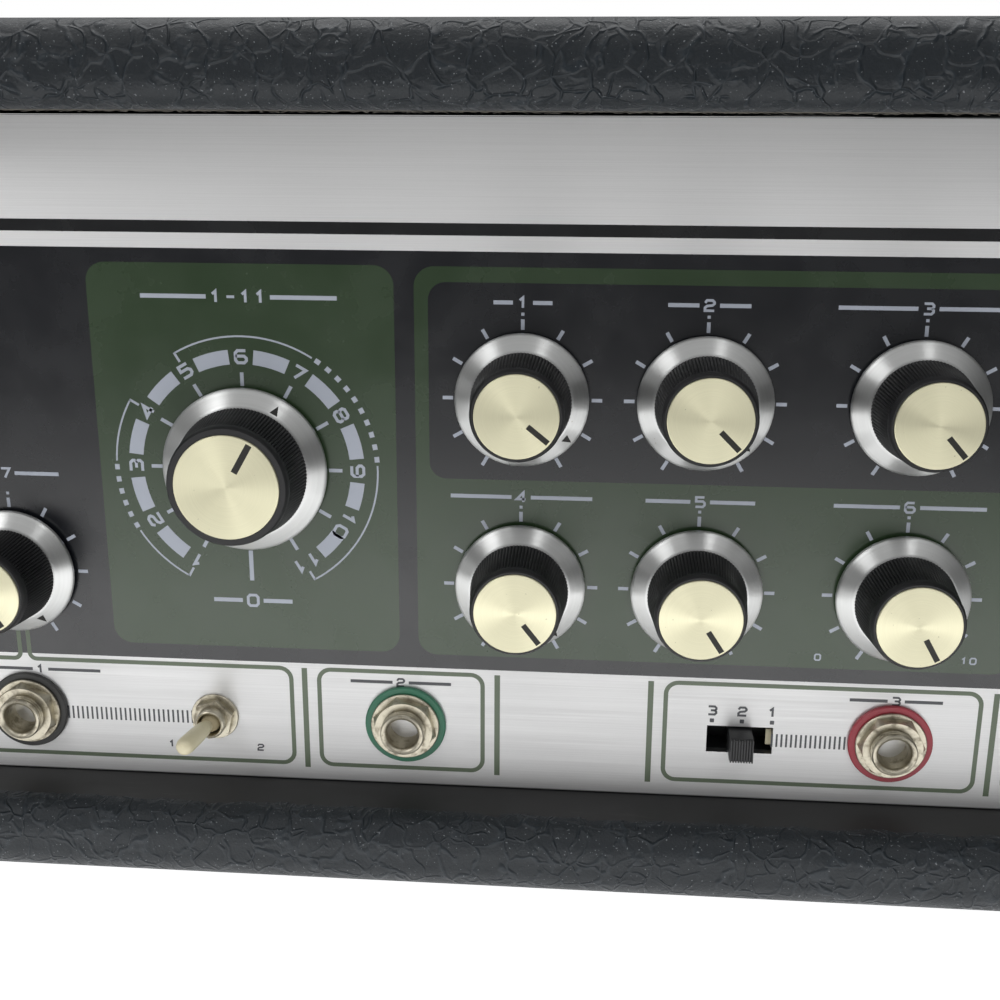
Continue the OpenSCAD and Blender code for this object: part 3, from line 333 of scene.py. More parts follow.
@dataclass(frozen=True)
class Ink:
    """Satin silk-screen print with faint mottling and rubbed spots."""

    name: str
    colour: str
    rough: float = 0.25
    worn: float = 0.25
    worn_colour: str = "6a6c6e"
    shine: float = 0.74

    def build(self) -> Material:
        """Returns the material."""
        s = Shader(self.name)
        base = hex_colour(self.colour)
        cloud = s.noise(s.place(), 90.0, 4)
        tone = s.blend(cloud, tuple(c * 0.88 for c in base), tuple(min(1.0, c * 1.14) for c in base))
        spot = s.ramp(s.noise(s.place((1, 1, 1.6)), 800.0, 2), 0.755, 0.80, 0.0, self.worn)
        s.set(Base_Color=s.blend(spot, tone, hex_colour(self.worn_colour)), Specular_IOR_Level=self.shine)
        peel = s.noise(s.place(), 1600.0, 2)
        s.set(Roughness=s.ramp(cloud, 0.3, 0.7, self.rough - 0.04, self.rough + 0.05))
        s.set(Normal=s.bump(peel, 0.12, 0.02 * MM))
        return s.material


@dataclass(frozen=True)
class Moulded:
    """Moulded plastic, rubber or paint: soft mottling, fine texture and dust."""

    name: str
    colour: str
    rough: float = 0.45
    texture: float = 0.03 * MM
    texture_scale: float = 1300.0
    dust: float = 0.25
    dust_colour: str = "6f6b62"
    coat: float = 0.0
    glow: float = 0.0

    def build(self) -> Material:
        """Returns the material."""
        s = Shader(self.name)
        base = hex_colour(self.colour)
        cloud = s.noise(s.place(), 160.0, 4)
        tone = s.blend(cloud, tuple(c * 0.82 for c in base), tuple(min(1.0, c * 1.2) for c in base))
        speck = s.ramp(s.noise(s.place(), 700.0, 4, 0.7), 0.60, 0.78, 0.0, self.dust)
        s.set(Base_Color=s.blend(speck, tone, hex_colour(self.dust_colour)), Coat_Weight=self.coat)
        s.set(Roughness=s.ramp(cloud, 0.3, 0.7, self.rough - 0.05, self.rough + 0.08))
        s.set(Normal=s.bump(s.noise(s.place(), self.texture_scale, 3), 0.4, self.texture))
        if self.glow:
            s.set(Emission_Color=base, Emission_Strength=self.glow)
        return s.material


@dataclass(frozen=True)
class AgedNickel:
    """Old nickel plate, dulled, with pale grime in random patches and pits."""

    name: str = "aged_nickel"
    colour: str = "bdb7a6"
    grime: str = "6d6350"
    rough: float = 0.34

    def build(self) -> Material:
        """Returns the material."""
        s = Shader(self.name)
        base = hex_colour(self.colour)
        patches = s.ramp(s.noise(s.place(), 420.0, 4, 0.65), 0.46, 0.72)
        pits = s.ramp(s.noise(s.place(), 1700.0, 3), 0.60, 0.74)
        dirt = s.math("MAXIMUM", s.math("MULTIPLY", patches, 0.75), s.math("MULTIPLY", pits, 0.5))
        s.set(Base_Color=s.blend(dirt, base, hex_colour(self.grime)))
        s.set(Metallic=s.ramp(dirt, 0.0, 1.0, 1.0, 0.55))
        s.set(Roughness=s.ramp(dirt, 0.0, 1.0, self.rough, self.rough + 0.24))
        s.set(Normal=s.bump(s.math("ADD", patches, pits), 0.3, 0.03 * MM))
        return s.material


@dataclass(frozen=True)
class ClearPlastic:
    """Clear acrylic with faint scratches."""

    name: str = "clear_plastic"
    colour: str = "eef2f2"
    rough: float = 0.06

    def build(self) -> Material:
        """Returns the material."""
        s = Shader(self.name)
        scratch = s.ramp(s.noise(s.place((40, 900, 900)), 1.0, 3), 0.62, 0.72)
        s.set(Base_Color=hex_colour(self.colour), Transmission_Weight=1.0, IOR=1.2)
        s.set(Roughness=s.ramp(scratch, 0.0, 1.0, self.rough, self.rough + 0.12))
        return s.material


class Palette:
    """Every finish of the unit, built once."""

    def __init__(self, vinyl: Vinyl) -> None:
        """Builds the materials."""
        self.vinyl = vinyl.build()
        self.aluminium = BrushedMetal("panel_aluminium", "e8e8e8", 0.47, Grain.FINE_X, 0.005 * MM, 0.06, 0.8,
                                      0.95).build()
        self.sheet = BrushedMetal("sheet_steel", "9a9da0", 0.42, Grain.NONE, soil=0.4).build()
        self.steel = BrushedMetal("plated_steel", "8d9094", 0.3, Grain.ALONG_Y).build()
        self.chrome = BrushedMetal("handle_chrome", "d6d8da", 0.14, Grain.NONE, 0.004 * MM, soil=0.2).build()
        self.head = BrushedMetal("head_metal", "c4c6c8", 0.22, Grain.ALONG_Y, soil=0.1).build()
        self.brass = BrushedMetal("turned_brass", "c2a25a", 0.28, Grain.NONE).build()
        self.copper = BrushedMetal("wound_copper", "a5613a", 0.35, Grain.ALONG_X).build()
        self.bare = BrushedMetal("bare_aluminium", "c6c7c8", 0.38, soil=0.2).build()
        self.skirt = SpunMetal("skirt_aluminium", "d0d1d0").build()
        self.cap = SpunMetal("cap_champagne", "ebe7c9", 0.5, aniso=0.8).build()
        self.nickel = AgedNickel().build()
        self.black_ink = Ink("ink_black", "111318").build()
        self.stripe_ink = Ink("ink_stripe", "151618").build()
        self.green_ink = Ink("ink_green", "2b3d26", worn_colour="6f7d63").build()
        self.pale_ink = Ink("ink_pale", "a8aeba", 0.5, worn=0.4, worn_colour="70747c").build()
        self.line_ink = Ink("ink_line", "57644f", 0.45, worn=0.5, worn_colour="a0a6a0").build()
        self.text_ink = Ink("ink_dark", "3b3d42", 0.45, worn=0.5, worn_colour="9a9c9e").build()
        self.grip = Moulded("knob_black", "1b1b1d", 0.42, dust=0.3, dust_colour="5a564c").build()
        self.black = Moulded("black_plastic", "1a1b1d", 0.4).build()
        self.pointer = Moulded("pointer_black", "15140f", 0.5, dust=0.1).build()
        self.rubber = Moulded("moulded_rubber", "1c1c1d", 0.62, 0.05 * MM).build()
        self.strap = Moulded("strap_black", "202224", 0.5, 0.12 * MM, 520.0).build()
        self.ivory = Moulded("aged_ivory", "d3cbac", 0.33, 0.015 * MM, dust=0.45,
                             dust_colour="8f805c").build()
        self.lever_dirt = Moulded("lever_collar", "a89c7e", 0.5, dust=0.6, dust_colour="5e5238").build()
        self.washer_green = Moulded("washer_green", "2a6a50", 0.4).build()
        self.washer_red = Moulded("washer_red", "97303c", 0.4).build()
        self.washer_black = Moulded("washer_black", "2a2a29", 0.42).build()
        self.deck = Moulded("deck_paint", "5a5f63", 0.4, 0.10 * MM, 420.0, dust=0.2).build()
        self.rear = Moulded("rear_paint", "232527", 0.42, 0.03 * MM).build()
        self.white = Moulded("scale_card", "e9e4d2", 0.6, dust=0.1).build()
        self.needle = Moulded("needle_paint", "1a1a1a", 0.4, dust=0.0).build()
        self.red = Moulded("lamp_red", "a01710", 0.18, 0.004 * MM, dust=0.05, coat=0.6, glow=0.12).build()
        self.scale_red = Moulded("scale_red", "b0281c", 0.5, dust=0.0).build()
        self.tape = Moulded("tape_oxide", "3b2417", 0.28, 0.004 * MM, dust=0.05).build()
        self.resin = Moulded("board_resin", "8a6d2c", 0.5).build()
        self.iron = Moulded("core_varnish", "3a3c40", 0.4, 0.06 * MM, 900.0).build()
        self.fibre = Moulded("cut_fibre", "77736c", 0.8, 0.05 * MM, dust=0.4, dust_colour="a8a49a").build()
        self.clear = ClearPlastic().build()


# ---------------------------------------------------------------- meshes


def outward(mesh: BMesh) -> BMesh:
    """Turns a mesh's faces outward, and returns it."""
    bmesh.ops.recalc_face_normals(mesh, faces=mesh.faces)
    return mesh


def new_object(name: str, data: bpy.types.Mesh) -> Object:
    """Adds an object to the scene."""
    thing = bpy.data.objects.new(name, data)
    bpy.context.scene.collection.objects.link(thing)
    return thing


def baked(thing: Object) -> bpy.types.Mesh:
    """An object's mesh with its modifiers applied."""
    bpy.context.view_layer.update()
    return bpy.data.meshes.new_from_object(thing.evaluated_get(bpy.context.evaluated_depsgraph_get()))


def finish_mesh(name: str, mesh: BMesh, material: Material, smooth: float | None = 35.0) -> Object:
    """Turns a bmesh into an object of the scene.

    Args:
        name: the object's name.
        mesh: its mesh, which is freed.
        material: its finish.
        smooth: the widest angle in degrees that is shaded smooth, or None for flat faces.

    Returns:
        The new object.
    """
    data = bpy.data.meshes.new(name)
    if smooth is not None:
        limit = math.radians(smooth)
        for face in mesh.faces:
            face.smooth = True
        for edge in mesh.edges:
            edge.smooth = len(edge.link_faces) == 2 and edge.calc_face_angle(0.0) < limit
    mesh.to_mesh(data)
    mesh.free()
    data.materials.append(material)
    return new_object(name, data)


def put(thing: Object, matrix: Matrix) -> Object:
    """Moves an object's mesh, so that the object itself stays at the origin."""
    thing.data.transform(matrix)
    if matrix.determinant() < 0:
        thing.data.flip_normals()
    return thing


def join(things: Sequence[Object]) -> Object:
    """Joins objects that lie at the origin into the first one, keeping their materials."""
    first = things[0]
    with bpy.context.temp_override(active_object=first, selected_editable_objects=list(things)):
        bpy.ops.object.join()
    return first


def box_mesh(low: Sequence[float], high: Sequence[float], bevel: float = 0.0, segments: int = 2) -> BMesh:
    """Box between two corners, with bevelled edges."""
    mesh = bmesh.new()
    bmesh.ops.create_cube(mesh, size=1.0)
    middle = (Vector(low) + Vector(high)) / 2
    size = Vector(high) - Vector(low)
    for vert in mesh.verts:
        vert.co = Vector(c * s for c, s in zip(vert.co, size)) + middle
    if bevel:
        bmesh.ops.bevel(mesh, geom=mesh.edges[:], offset=bevel, segments=segments, affect="EDGES",
                        profile=0.5)
    return mesh


def revolve(profile: Sequence[tuple], around: int = 64, flutes: int = 0) -> BMesh:
    """Closed solid of revolution about local z, with a "turned" UV map.

    Args:
        profile: (radius, height) pairs from the axis outwards and back to it, or a closed ring when no
            radius is 0. A third number in a pair is the depth of the flutes there.
        around: steps in a full turn, or in one flute when there are flutes.
        flutes: number of flutes round the solid.

    Returns:
        The mesh, in millimetres.
    """
    mesh = bmesh.new()
    steps = around * flutes if flutes else around
    layer = mesh.loops.layers.uv.new("turned")
    rings = []
    for entry in profile:
        radius, height = entry[0], entry[1]
        depth = entry[2] if len(entry) > 2 else 0.0
        if radius == 0:
            rings.append([mesh.verts.new((0, 0, height))])
            continue
        ring = []
        for i in range(steps):
            angle = 2 * math.pi * i / steps
            wave = 0.5 - 0.5 * math.cos(2 * math.pi * i / around) if flutes else 0.0
            r = radius - depth * wave ** 1.6
            ring.append(mesh.verts.new((r * math.cos(angle), r * math.sin(angle), height)))
        rings.append(ring)
    pairs = list(zip(rings, rings[1:]))
    if len(rings[0]) > 1 and len(rings[-1]) > 1:
        pairs.append((rings[-1], rings[0]))
    for lower, upper in pairs:
        for i in range(steps):
            j = (i + 1) % steps
            corners = [lower[i % len(lower)], lower[j % len(lower)],
                       upper[j % len(upper)], upper[i % len(upper)]]
            mesh.faces.new(list(dict.fromkeys(corners)))
    for face in outward(mesh).faces:
        centre = math.atan2(face.calc_center_median().y, face.calc_center_median().x)
        for loop in face.loops:
            radius = math.hypot(loop.vert.co.x, loop.vert.co.y)
            angle = math.atan2(loop.vert.co.y, loop.vert.co.x) if radius > 1e-9 else centre
            turn = (angle - centre + math.pi) % (2 * math.pi) - math.pi + centre
            loop[layer].uv = (turn / (2 * math.pi) * 6.0, radius * MM + abs(loop.vert.co.z) * MM)
    return mesh


def circle(radius: float, count: int, start: float = 0.0, centre: Point = (0.0, 0.0)) -> list[Point]:
    """Points round a circle, anticlockwise from a start angle in degrees."""
    return [(centre[0] + radius * math.cos(math.radians(start + 360 * i / count)),
             centre[1] + radius * math.sin(math.radians(start + 360 * i / count))) for i in range(count)]


def round_box(x0: float, z0: float, x1: float, z1: float, radius: float, steps: int = 8) -> list[Point]:
    """Anticlockwise outline of a box with round corners."""
    points = []
    corners = ((x1 - radius, z1 - radius, 0), (x0 + radius, z1 - radius, 90),
               (x0 + radius, z0 + radius, 180), (x1 - radius, z0 + radius, 270))
    for cx, cz, start in corners:
        for i in range(steps + 1):
            angle = math.radians(start + 90 * i / steps)
            points.append((cx + radius * math.cos(angle), cz + radius * math.sin(angle)))
    return points


def rectangle(x0: float, z0: float, x1: float, z1: float) -> list[Point]:
    """Anticlockwise outline of a box with sharp corners."""
    return [(x0, z0), (x1, z0), (x1, z1), (x0, z1)]


def compass(angle: float, radius: float, centre: Point = (0.0, 0.0)) -> Point:
    """Point at an angle clockwise from the top."""
    turn = math.radians(angle)
    return (centre[0] + radius * math.sin(turn), centre[1] + radius * math.cos(turn))


@dataclass(frozen=True)
class Panel:
    """Where the panel lies: the mode knob's place on its front face, in metres."""

    x: float
    y: float
    z: float

    @classmethod
    def from_frame(cls) -> "Panel":
        """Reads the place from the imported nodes."""
        low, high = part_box("mode_knob_metal")
        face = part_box("front_panel")[0].y
        return cls((low.x + high.x) / 2, face, (low.z + high.z) / 2)

    def matrix(self, x: float = 0.0, z: float = 0.0, h: float = 0.0, turn: float = 0.0) -> Matrix:
        """Matrix from millimetres on the panel (x right, y up, z out) to the scene's metres.

        Args:
            x, z, h: the place, in millimetres from the mode knob.
            turn: clockwise turn in degrees, seen from the front.
        """
        spot = Vector((self.x + x * MM, self.y - h * MM, self.z + z * MM))
        upright = Matrix.Rotation(math.pi / 2, 4, "X")
        return (Matrix.Translation(spot) @ upright @ Matrix.Rotation(-math.radians(turn), 4, "Z")
                @ TO_METRES)


class Print:
    """Thin printed shapes on the panel, gathered into one mesh."""

    def __init__(self, low: float, high: float) -> None:
        """Starts a print between two heights above the panel, in millimetres."""
        self.mesh = bmesh.new()
        self.low = low
        self.high = high

    def fill(self, outline: Sequence[Point]) -> None:
        """Adds a filled outline, given anticlockwise."""
        bottom = [self.mesh.verts.new((x, y, self.low)) for x, y in outline]
        top = [self.mesh.verts.new((x, y, self.high)) for x, y in outline]
        self.mesh.faces.new(list(reversed(bottom)))
        self.mesh.faces.new(top)
        for i in range(len(outline)):
            j = (i + 1) % len(outline)
            self.mesh.faces.new((bottom[i], bottom[j], top[j], top[i]))

    def band(self, outer: Sequence[Point], inner: Sequence[Point], closed: bool = True) -> None:
        """Adds the strip between two lines with as many points."""
        rows = [[self.mesh.verts.new((x, y, h)) for x, y in line]
                for line, h in ((outer, self.low), (outer, self.high), (inner, self.high), (inner, self.low))]
        count = len(outer)
        for a, b in zip(rows, rows[1:] + rows[:1]):
            for i in range(count if closed else count - 1):
                j = (i + 1) % count
                self.mesh.faces.new((a[i], a[j], b[j], b[i]))
        if not closed:
            self.mesh.faces.new([row[0] for row in rows])
            self.mesh.faces.new([row[-1] for row in reversed(rows)])

    def frame(self, x0: float, z0: float, x1: float, z1: float, radius: float, width: float) -> None:
        """Adds the line round a box with round corners."""
        half = width / 2
        self.band(round_box(x0 - half, z0 - half, x1 + half, z1 + half, radius + half),
                  round_box(x0 + half, z0 + half, x1 - half, z1 - half, radius - half))

    def line(self, start: Point, end: Point, width: float) -> None:
        """Adds a straight line."""
        run = Vector((end[0] - start[0], end[1] - start[1]))
        side = Vector((-run.y, run.x)).normalized() * width / 2
        self.fill([(start[0] - side.x, start[1] - side.y), (end[0] - side.x, end[1] - side.y),
                   (end[0] + side.x, end[1] + side.y), (start[0] + side.x, start[1] + side.y)])

    def arc(self, radius: float, width: float, start: float, end: float, centre: Point = (0.0, 0.0)) -> None:
        """Adds an arc between two angles clockwise from the top."""
        steps = max(2, int(abs(end - start) / 3))
        angles = [start + (end - start) * i / steps for i in range(steps + 1)]
        self.band([compass(a, radius + width / 2, centre) for a in angles],
                  [compass(a, radius - width / 2, centre) for a in angles], closed=False)

    def stroke(self, points: Sequence[Point], width: float) -> None:
        """Adds a line of even width along open points, its corners mitred."""
        sides: tuple[list, list] = ([], [])
        for i, (x, y) in enumerate(points):
            before, after = points[max(0, i - 1)], points[min(len(points) - 1, i + 1)]
            here = Vector((x, y))
            steps = [v.normalized() for v in (here - Vector(before), Vector(after) - here) if v.length > 1e-9]
            normals = [Vector((-v.y, v.x)) for v in steps]
            middle = sum(normals, Vector((0, 0))).normalized()
            reach = width / 2 / max(0.3, middle.dot(normals[0]))
            sides[0].append((x + middle.x * reach, y + middle.y * reach))
            sides[1].append((x - middle.x * reach, y - middle.y * reach))
        self.band(sides[0], sides[1], closed=False)

    def solid(self, name: str, material: Material) -> Object:
        """Returns the shapes as one finished object, still in millimetres."""
        return finish_mesh(name, outward(self.mesh), material, None)

    def build(self, name: str, material: Material, panel: Panel) -> Object:
        """Returns the finished print, riding on the case, with a "flat" map in its own millimetres."""
        layer = self.mesh.loops.layers.uv.new("flat")
        for face in self.mesh.faces:
            for loop in face.loops:
                loop[layer].uv = (loop.vert.co.x, loop.vert.co.y + loop.vert.co.z)
        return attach(put(self.solid(name, material), panel.matrix()), "case")


# Shape of the figures: width and stroke as shares of their height, pitch as a share of their width
FIGURE_WIDTH = 0.92
FIGURE_STROKE = 0.2
FIGURE_PITCH = 1.22
FIGURES = {
    "0": (((0.5, 1), (0.8, 1), (1, 0.8), (1, 0.2), (0.8, 0), (0.2, 0), (0, 0.2), (0, 0.8), (0.2, 1),
           (0.5, 1)),),
    "1": (((0.15, 0.74), (0.5, 1), (0.5, 0)),),
    "2": (((0, 0.75), (0.2, 1), (0.8, 1), (1, 0.82), (1, 0.68), (0.8, 0.52), (0.2, 0.45), (0, 0.28), (0, 0),
           (1, 0)),),
    "3": (((0, 1), (0.8, 1), (1, 0.82), (1, 0.68), (0.82, 0.52), (0.3, 0.52)),
          ((0.8, 0.52), (1, 0.34), (1, 0.18), (0.8, 0), (0, 0))),
    "4": (((0.75, 0), (0.75, 1), (0, 0.3), (1, 0.3)),),
    "5": (((0.95, 1), (0.05, 1), (0.05, 0.57), (0.8, 0.57), (1, 0.4), (1, 0.18), (0.8, 0), (0, 0)),),
    "6": (((0.95, 1), (0.2, 1), (0, 0.8), (0, 0.2), (0.2, 0), (0.8, 0), (1, 0.18), (1, 0.38), (0.8, 0.55),
           (0, 0.55)),),
    "7": (((0, 1), (1, 1), (0.4, 0)),),
    "8": (((0.5, 1), (0.8, 1), (0.97, 0.85), (0.97, 0.67), (0.8, 0.52), (0.2, 0.52), (0.03, 0.67),
           (0.03, 0.85), (0.2, 1), (0.5, 1)),
          ((0.8, 0.52), (1, 0.35), (1, 0.17), (0.8, 0), (0.2, 0), (0, 0.17), (0, 0.35), (0.2, 0.52))),
    "9": (((0.05, 0), (0.8, 0), (1, 0.2), (1, 0.8), (0.8, 1), (0.2, 1), (0, 0.82), (0, 0.62), (0.2, 0.45),
           (1, 0.45)),),
    "-": (((0.1, 0.5), (0.9, 0.5)),),
}


def numeral(text: str, size: float, place: Matrix, low: float, high: float, material: Material) -> Object:
    """A plain number in straight strokes, as a thin mesh.

    Args:
        text: the number.
        size: height of its figures in millimetres.
        place: matrix of its middle, in millimetres, out of the panel along z.
        low, high: its faces' heights.
        material: its ink.
    """
    slab = Print(low, high)
    pitch = size * FIGURE_WIDTH * FIGURE_PITCH
    inset = size * FIGURE_STROKE / 2
    for i, sign in enumerate(text):
        left = (i - (len(text) - 1) / 2) * pitch - size * FIGURE_WIDTH / 2
        for stroke in FIGURES[sign]:
            points = [(left + inset + x * (size * FIGURE_WIDTH - 2 * inset),
                       -size / 2 + inset + y * (size - 2 * inset)) for x, y in stroke]
            slab.stroke(points, size * FIGURE_STROKE)
    return put(slab.solid("numeral", material), place)


# ---------------------------------------------------------------- geometry nodes


class Tree:
    """A geometry node tree with named inputs, which ends in one plain mesh."""

    def __init__(self, name: str) -> None:
        """Starts an empty tree."""
        self.group = bpy.data.node_groups.new(name, "GeometryNodeTree")
        self.group.interface.new_socket("Geometry", in_out="OUTPUT", socket_type="NodeSocketGeometry")
        self.entry = self.group.nodes.new("NodeGroupInput")
        self.ids: dict[str, str] = {}

    def size(self, name: str, kind: str = "Float") -> Socket:
        """Adds a named input and returns its socket."""
        item = self.group.interface.new_socket(name, in_out="INPUT", socket_type="NodeSocket" + kind)
        self.ids[name] = item.identifier
        return next(s for s in self.entry.outputs if s.identifier == item.identifier)

    def add(self, kind: str, inputs: dict | None = None, **settings) -> bpy.types.Node:
        """Adds a node and feeds its inputs."""
        node = self.group.nodes.new(kind)
        for key, value in settings.items():
            setattr(node, key, value)
        for key, value in (inputs or {}).items():
            if isinstance(value, Socket):
                self.group.links.new(value, node.inputs[key])
            else:
                node.inputs[key].default_value = value
        return node

    def maths(self, operation: str, a, b=0.0) -> Socket:
        """One sum."""
        return self.add("ShaderNodeMath", {0: a, 1: b}, operation=operation).outputs[0]

    def row(self, count, pitch) -> tuple[Socket, Socket]:
        """Points for a row centred on the origin: their geometry, and each one's place along x."""
        points = self.add("GeometryNodeMeshLine", {"Count": count})
        index = self.add("GeometryNodeInputIndex").outputs[0]
        middle = self.maths("MULTIPLY", self.maths("SUBTRACT", count, 1.0), 0.5)
        along = self.maths("MULTIPLY", self.maths("SUBTRACT", index, middle), pitch)
        return points.outputs[0], along

    def anywhere(self, seed) -> Socket:
        """A random vector for each point, from -1 to 1 on every axis."""
        return self.add("FunctionNodeRandomValue", {0: (-1, -1, -1), 1: (1, 1, 1), "Seed": seed},
                        data_type="FLOAT_VECTOR").outputs[0]

    def bar(self, long, wide, thick) -> Socket:
        """A box of the given sizes."""
        size = self.add("ShaderNodeCombineXYZ", {0: long, 1: wide, 2: thick})
        return self.add("GeometryNodeMeshCube", {"Size": size.outputs[0]}).outputs[0]

    def spread(self, points, spot, thing, **more) -> Socket:
        """Moves points to their spots and puts a thing on each; more feeds further inputs."""
        placed = self.add("GeometryNodeSetPosition", {0: points, "Position": spot.outputs[0]})
        inputs = {"Points": placed.outputs[0], "Instance": thing, **more}
        return self.add("GeometryNodeInstanceOnPoints", inputs).outputs[0]

    def end(self, geometry: Socket) -> None:
        """Realizes the instances and gives them the material named Finish."""
        real = self.add("GeometryNodeRealizeInstances", {0: geometry})
        finish = self.size("Finish", "Material")
        painted = self.add("GeometryNodeSetMaterial", {0: real.outputs[0], "Material": finish})
        out = self.group.nodes.new("NodeGroupOutput")
        self.group.links.new(painted.outputs[0], out.inputs[0])

    def make(self, name: str, **values) -> Object:
        """Runs the tree once.

        Args:
            name: the new object's name.
            values: the inputs, with underscores for spaces.

        Returns:
            A plain mesh object in the tree's own millimetres.
        """
        seed = new_object(name, bpy.data.meshes.new(name + "_seed"))
        modifier = seed.modifiers.new("tree", "NODES")
        modifier.node_group = self.group
        for key, value in values.items():
            modifier[self.ids[key.replace("_", " ")]] = value
        data = baked(seed)
        seed.modifiers.remove(modifier)
        seed.data = data
        data.name = name
        return seed


def mark_ring_tree() -> Tree:
    """Bars set out along an arc, clockwise from the top, as the ticks of a dial."""
    tree = Tree("mark_ring")
    count, start, step = tree.size("Count", "Int"), tree.size("Start"), tree.size("Step")
    radius, long, wide = tree.size("Radius"), tree.size("Length"), tree.size("Width")
    thick, lift = tree.size("Thickness"), tree.size("Lift")
    points = tree.add("GeometryNodeMeshLine", {"Count": count})
    index = tree.add("GeometryNodeInputIndex").outputs[0]
    angle = tree.maths("ADD", start, tree.maths("MULTIPLY", step, index))
    spot = tree.add("ShaderNodeCombineXYZ", {0: tree.maths("MULTIPLY", radius, tree.maths("SINE", angle)),
                                             1: tree.maths("MULTIPLY", radius, tree.maths("COSINE", angle)),
                                             2: lift})
    turn = tree.add("ShaderNodeCombineXYZ", {2: tree.maths("MULTIPLY", angle, -1.0)})
    tree.end(tree.spread(points.outputs[0], spot, tree.bar(wide, long, thick), Rotation=turn.outputs[0]))
    return tree


def bar_row_tree() -> Tree:
    """Bars side by side along x, as hatching, ribs or slots."""
    tree = Tree("bar_row")
    count, pitch = tree.size("Count", "Int"), tree.size("Pitch")
    wide, tall = tree.size("Width"), tree.size("Height")
    thick, lift = tree.size("Thickness"), tree.size("Lift")
    points, along = tree.row(count, pitch)
    spot = tree.add("ShaderNodeCombineXYZ", {0: along, 2: lift})
    tree.end(tree.spread(points, spot, tree.bar(wide, tall, thick)))
    return tree


def ring_stack_tree() -> Tree:
    """Thin rings stacked along z, as the crests of a thread or turns of a winding."""
    tree = Tree("ring_stack")
    count, pitch, start = tree.size("Count", "Int"), tree.size("Pitch"), tree.size("Start")
    radius, wire, around = tree.size("Radius"), tree.size("Wire"), tree.size("Around", "Int")
    path = tree.add("GeometryNodeCurvePrimitiveCircle", {"Resolution": around, "Radius": radius})
    section = tree.add("GeometryNodeCurvePrimitiveCircle", {"Resolution": 6, "Radius": wire})
    ring = tree.add("GeometryNodeCurveToMesh", {0: path.outputs[0], "Profile Curve": section.outputs[0]})
    points = tree.add("GeometryNodeMeshLine", {"Count": count})
    index = tree.add("GeometryNodeInputIndex").outputs[0]
    height = tree.maths("ADD", start, tree.maths("MULTIPLY", pitch, index))
    spot = tree.add("ShaderNodeCombineXYZ", {2: height})
    rings = tree.spread(points.outputs[0], spot, ring.outputs[0])
    tree.end(tree.add("GeometryNodeSetShadeSmooth", {0: rings}).outputs[0])
    return tree


def fibre_row_tree() -> Tree:
    """Loose fibres along x, each with its own length, lean and place, as a frayed cut edge."""
    tree = Tree("fibre_row")
    count, pitch, seed = tree.size("Count", "Int"), tree.size("Pitch"), tree.size("Seed", "Int")
    wide, tall, stray = tree.size("Width"), tree.size("Length"), tree.size("Stray")
    points, along = tree.row(count, pitch)
    line = tree.add("ShaderNodeCombineXYZ", {0: along})
    drift = tree.anywhere(seed)
    room = tree.add("ShaderNodeCombineXYZ", {0: pitch, 1: tree.maths("MULTIPLY", tall, 0.4),
                                             2: tree.maths("MULTIPLY", tall, 0.3)})
    moved = tree.add("ShaderNodeVectorMath", {0: drift, 1: room.outputs[0], 2: line.outputs[0]},
                     operation="MULTIPLY_ADD")
    lean = tree.anywhere(tree.maths("ADD", seed, 1.0))
    leaning = tree.add("ShaderNodeVectorMath", {0: lean, "Scale": stray}, operation="SCALE")
    share = tree.add("FunctionNodeRandomValue", {2: 0.4, 3: 1.2, "Seed": tree.maths("ADD", seed, 2.0)},
                     data_type="FLOAT")
    stretch = tree.add("ShaderNodeCombineXYZ", {0: share.outputs[1], 1: 1.0, 2: 1.0})
    tree.end(tree.spread(points, moved, tree.bar(tall, wide, wide), Rotation=leaning.outputs[0],
                         Scale=stretch.outputs[0]))
    return tree


class Trees:
    """The node trees that several sub-assemblies share."""

    def __init__(self) -> None:
        """Builds each tree once."""
        self.marks = mark_ring_tree()
        self.bars = bar_row_tree()
        self.rings = ring_stack_tree()
        self.fibres = fibre_row_tree()


# ---------------------------------------------------------------- sub-assemblies


class Unit:
    """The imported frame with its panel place, finishes and node trees."""

    def __init__(self) -> None:
        """Loads the frame, and measures it before anything is dressed."""
        self.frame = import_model()
        self.cad_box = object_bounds()
        self.panel = Panel.from_frame()
        front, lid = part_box("front_panel"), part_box("lid")
        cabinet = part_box("cabinet")
        self.finish = Palette(Vinyl(inside_half=front[1].x + 1.5 * MM, inside_low=front[0].z - 1.5 * MM,
                                    inside_high=lid[0].z + 0.4 * MM, inside_front=cabinet[0].y + 6.5 * MM))
        self.trees = Trees()

    def adopt(self, material: Material, *nodes: str) -> None:
        """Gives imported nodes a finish."""
        for node in nodes:
            slots = self.frame["nodes"][node].data.materials
            slots.clear()
            slots.append(material)

    def box(self, node: str) -> tuple[Vector, Vector]:
        """A node's corners in millimetres on the panel: x right, y up, z out."""
        low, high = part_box(node)
        panel = self.panel
        return (Vector(((low.x - panel.x) / MM, (low.z - panel.z) / MM, (panel.y - high.y) / MM)),
                Vector(((high.x - panel.x) / MM, (high.z - panel.z) / MM, (panel.y - low.y) / MM)))


def screw_head(unit: Unit, name: str, radius: float) -> Object:
    """A domed head whose cross recess is painted shade: two dark bars stand where the hollow would lie in
    shadow.
    """
    head = revolve([(0, 0), (radius, 0), (radius, 0.12), (radius * 0.7, 0.42), (0, 0.55)], 32)
    thing = finish_mesh(name, head, unit.finish.steel)
    # The bars paint the shade of the recess; no hollow is cut.
    bars = [finish_mesh("bar", box_mesh((-a, -b, 0.1), (a, b, 0.57)), unit.finish.pointer, None)
            for a, b in ((radius * 0.6, radius * 0.11), (radius * 0.11, radius * 0.6))]
    return join([thing, *bars])


TONE_X = (57.0, 93.3, 134.9)
INPUT_X = (-51.8, -93.8, -135.8)
UPPER_Z, LOWER_Z = 15.8, -23.75
DIAL_START, DIAL_STEP = -150, 30


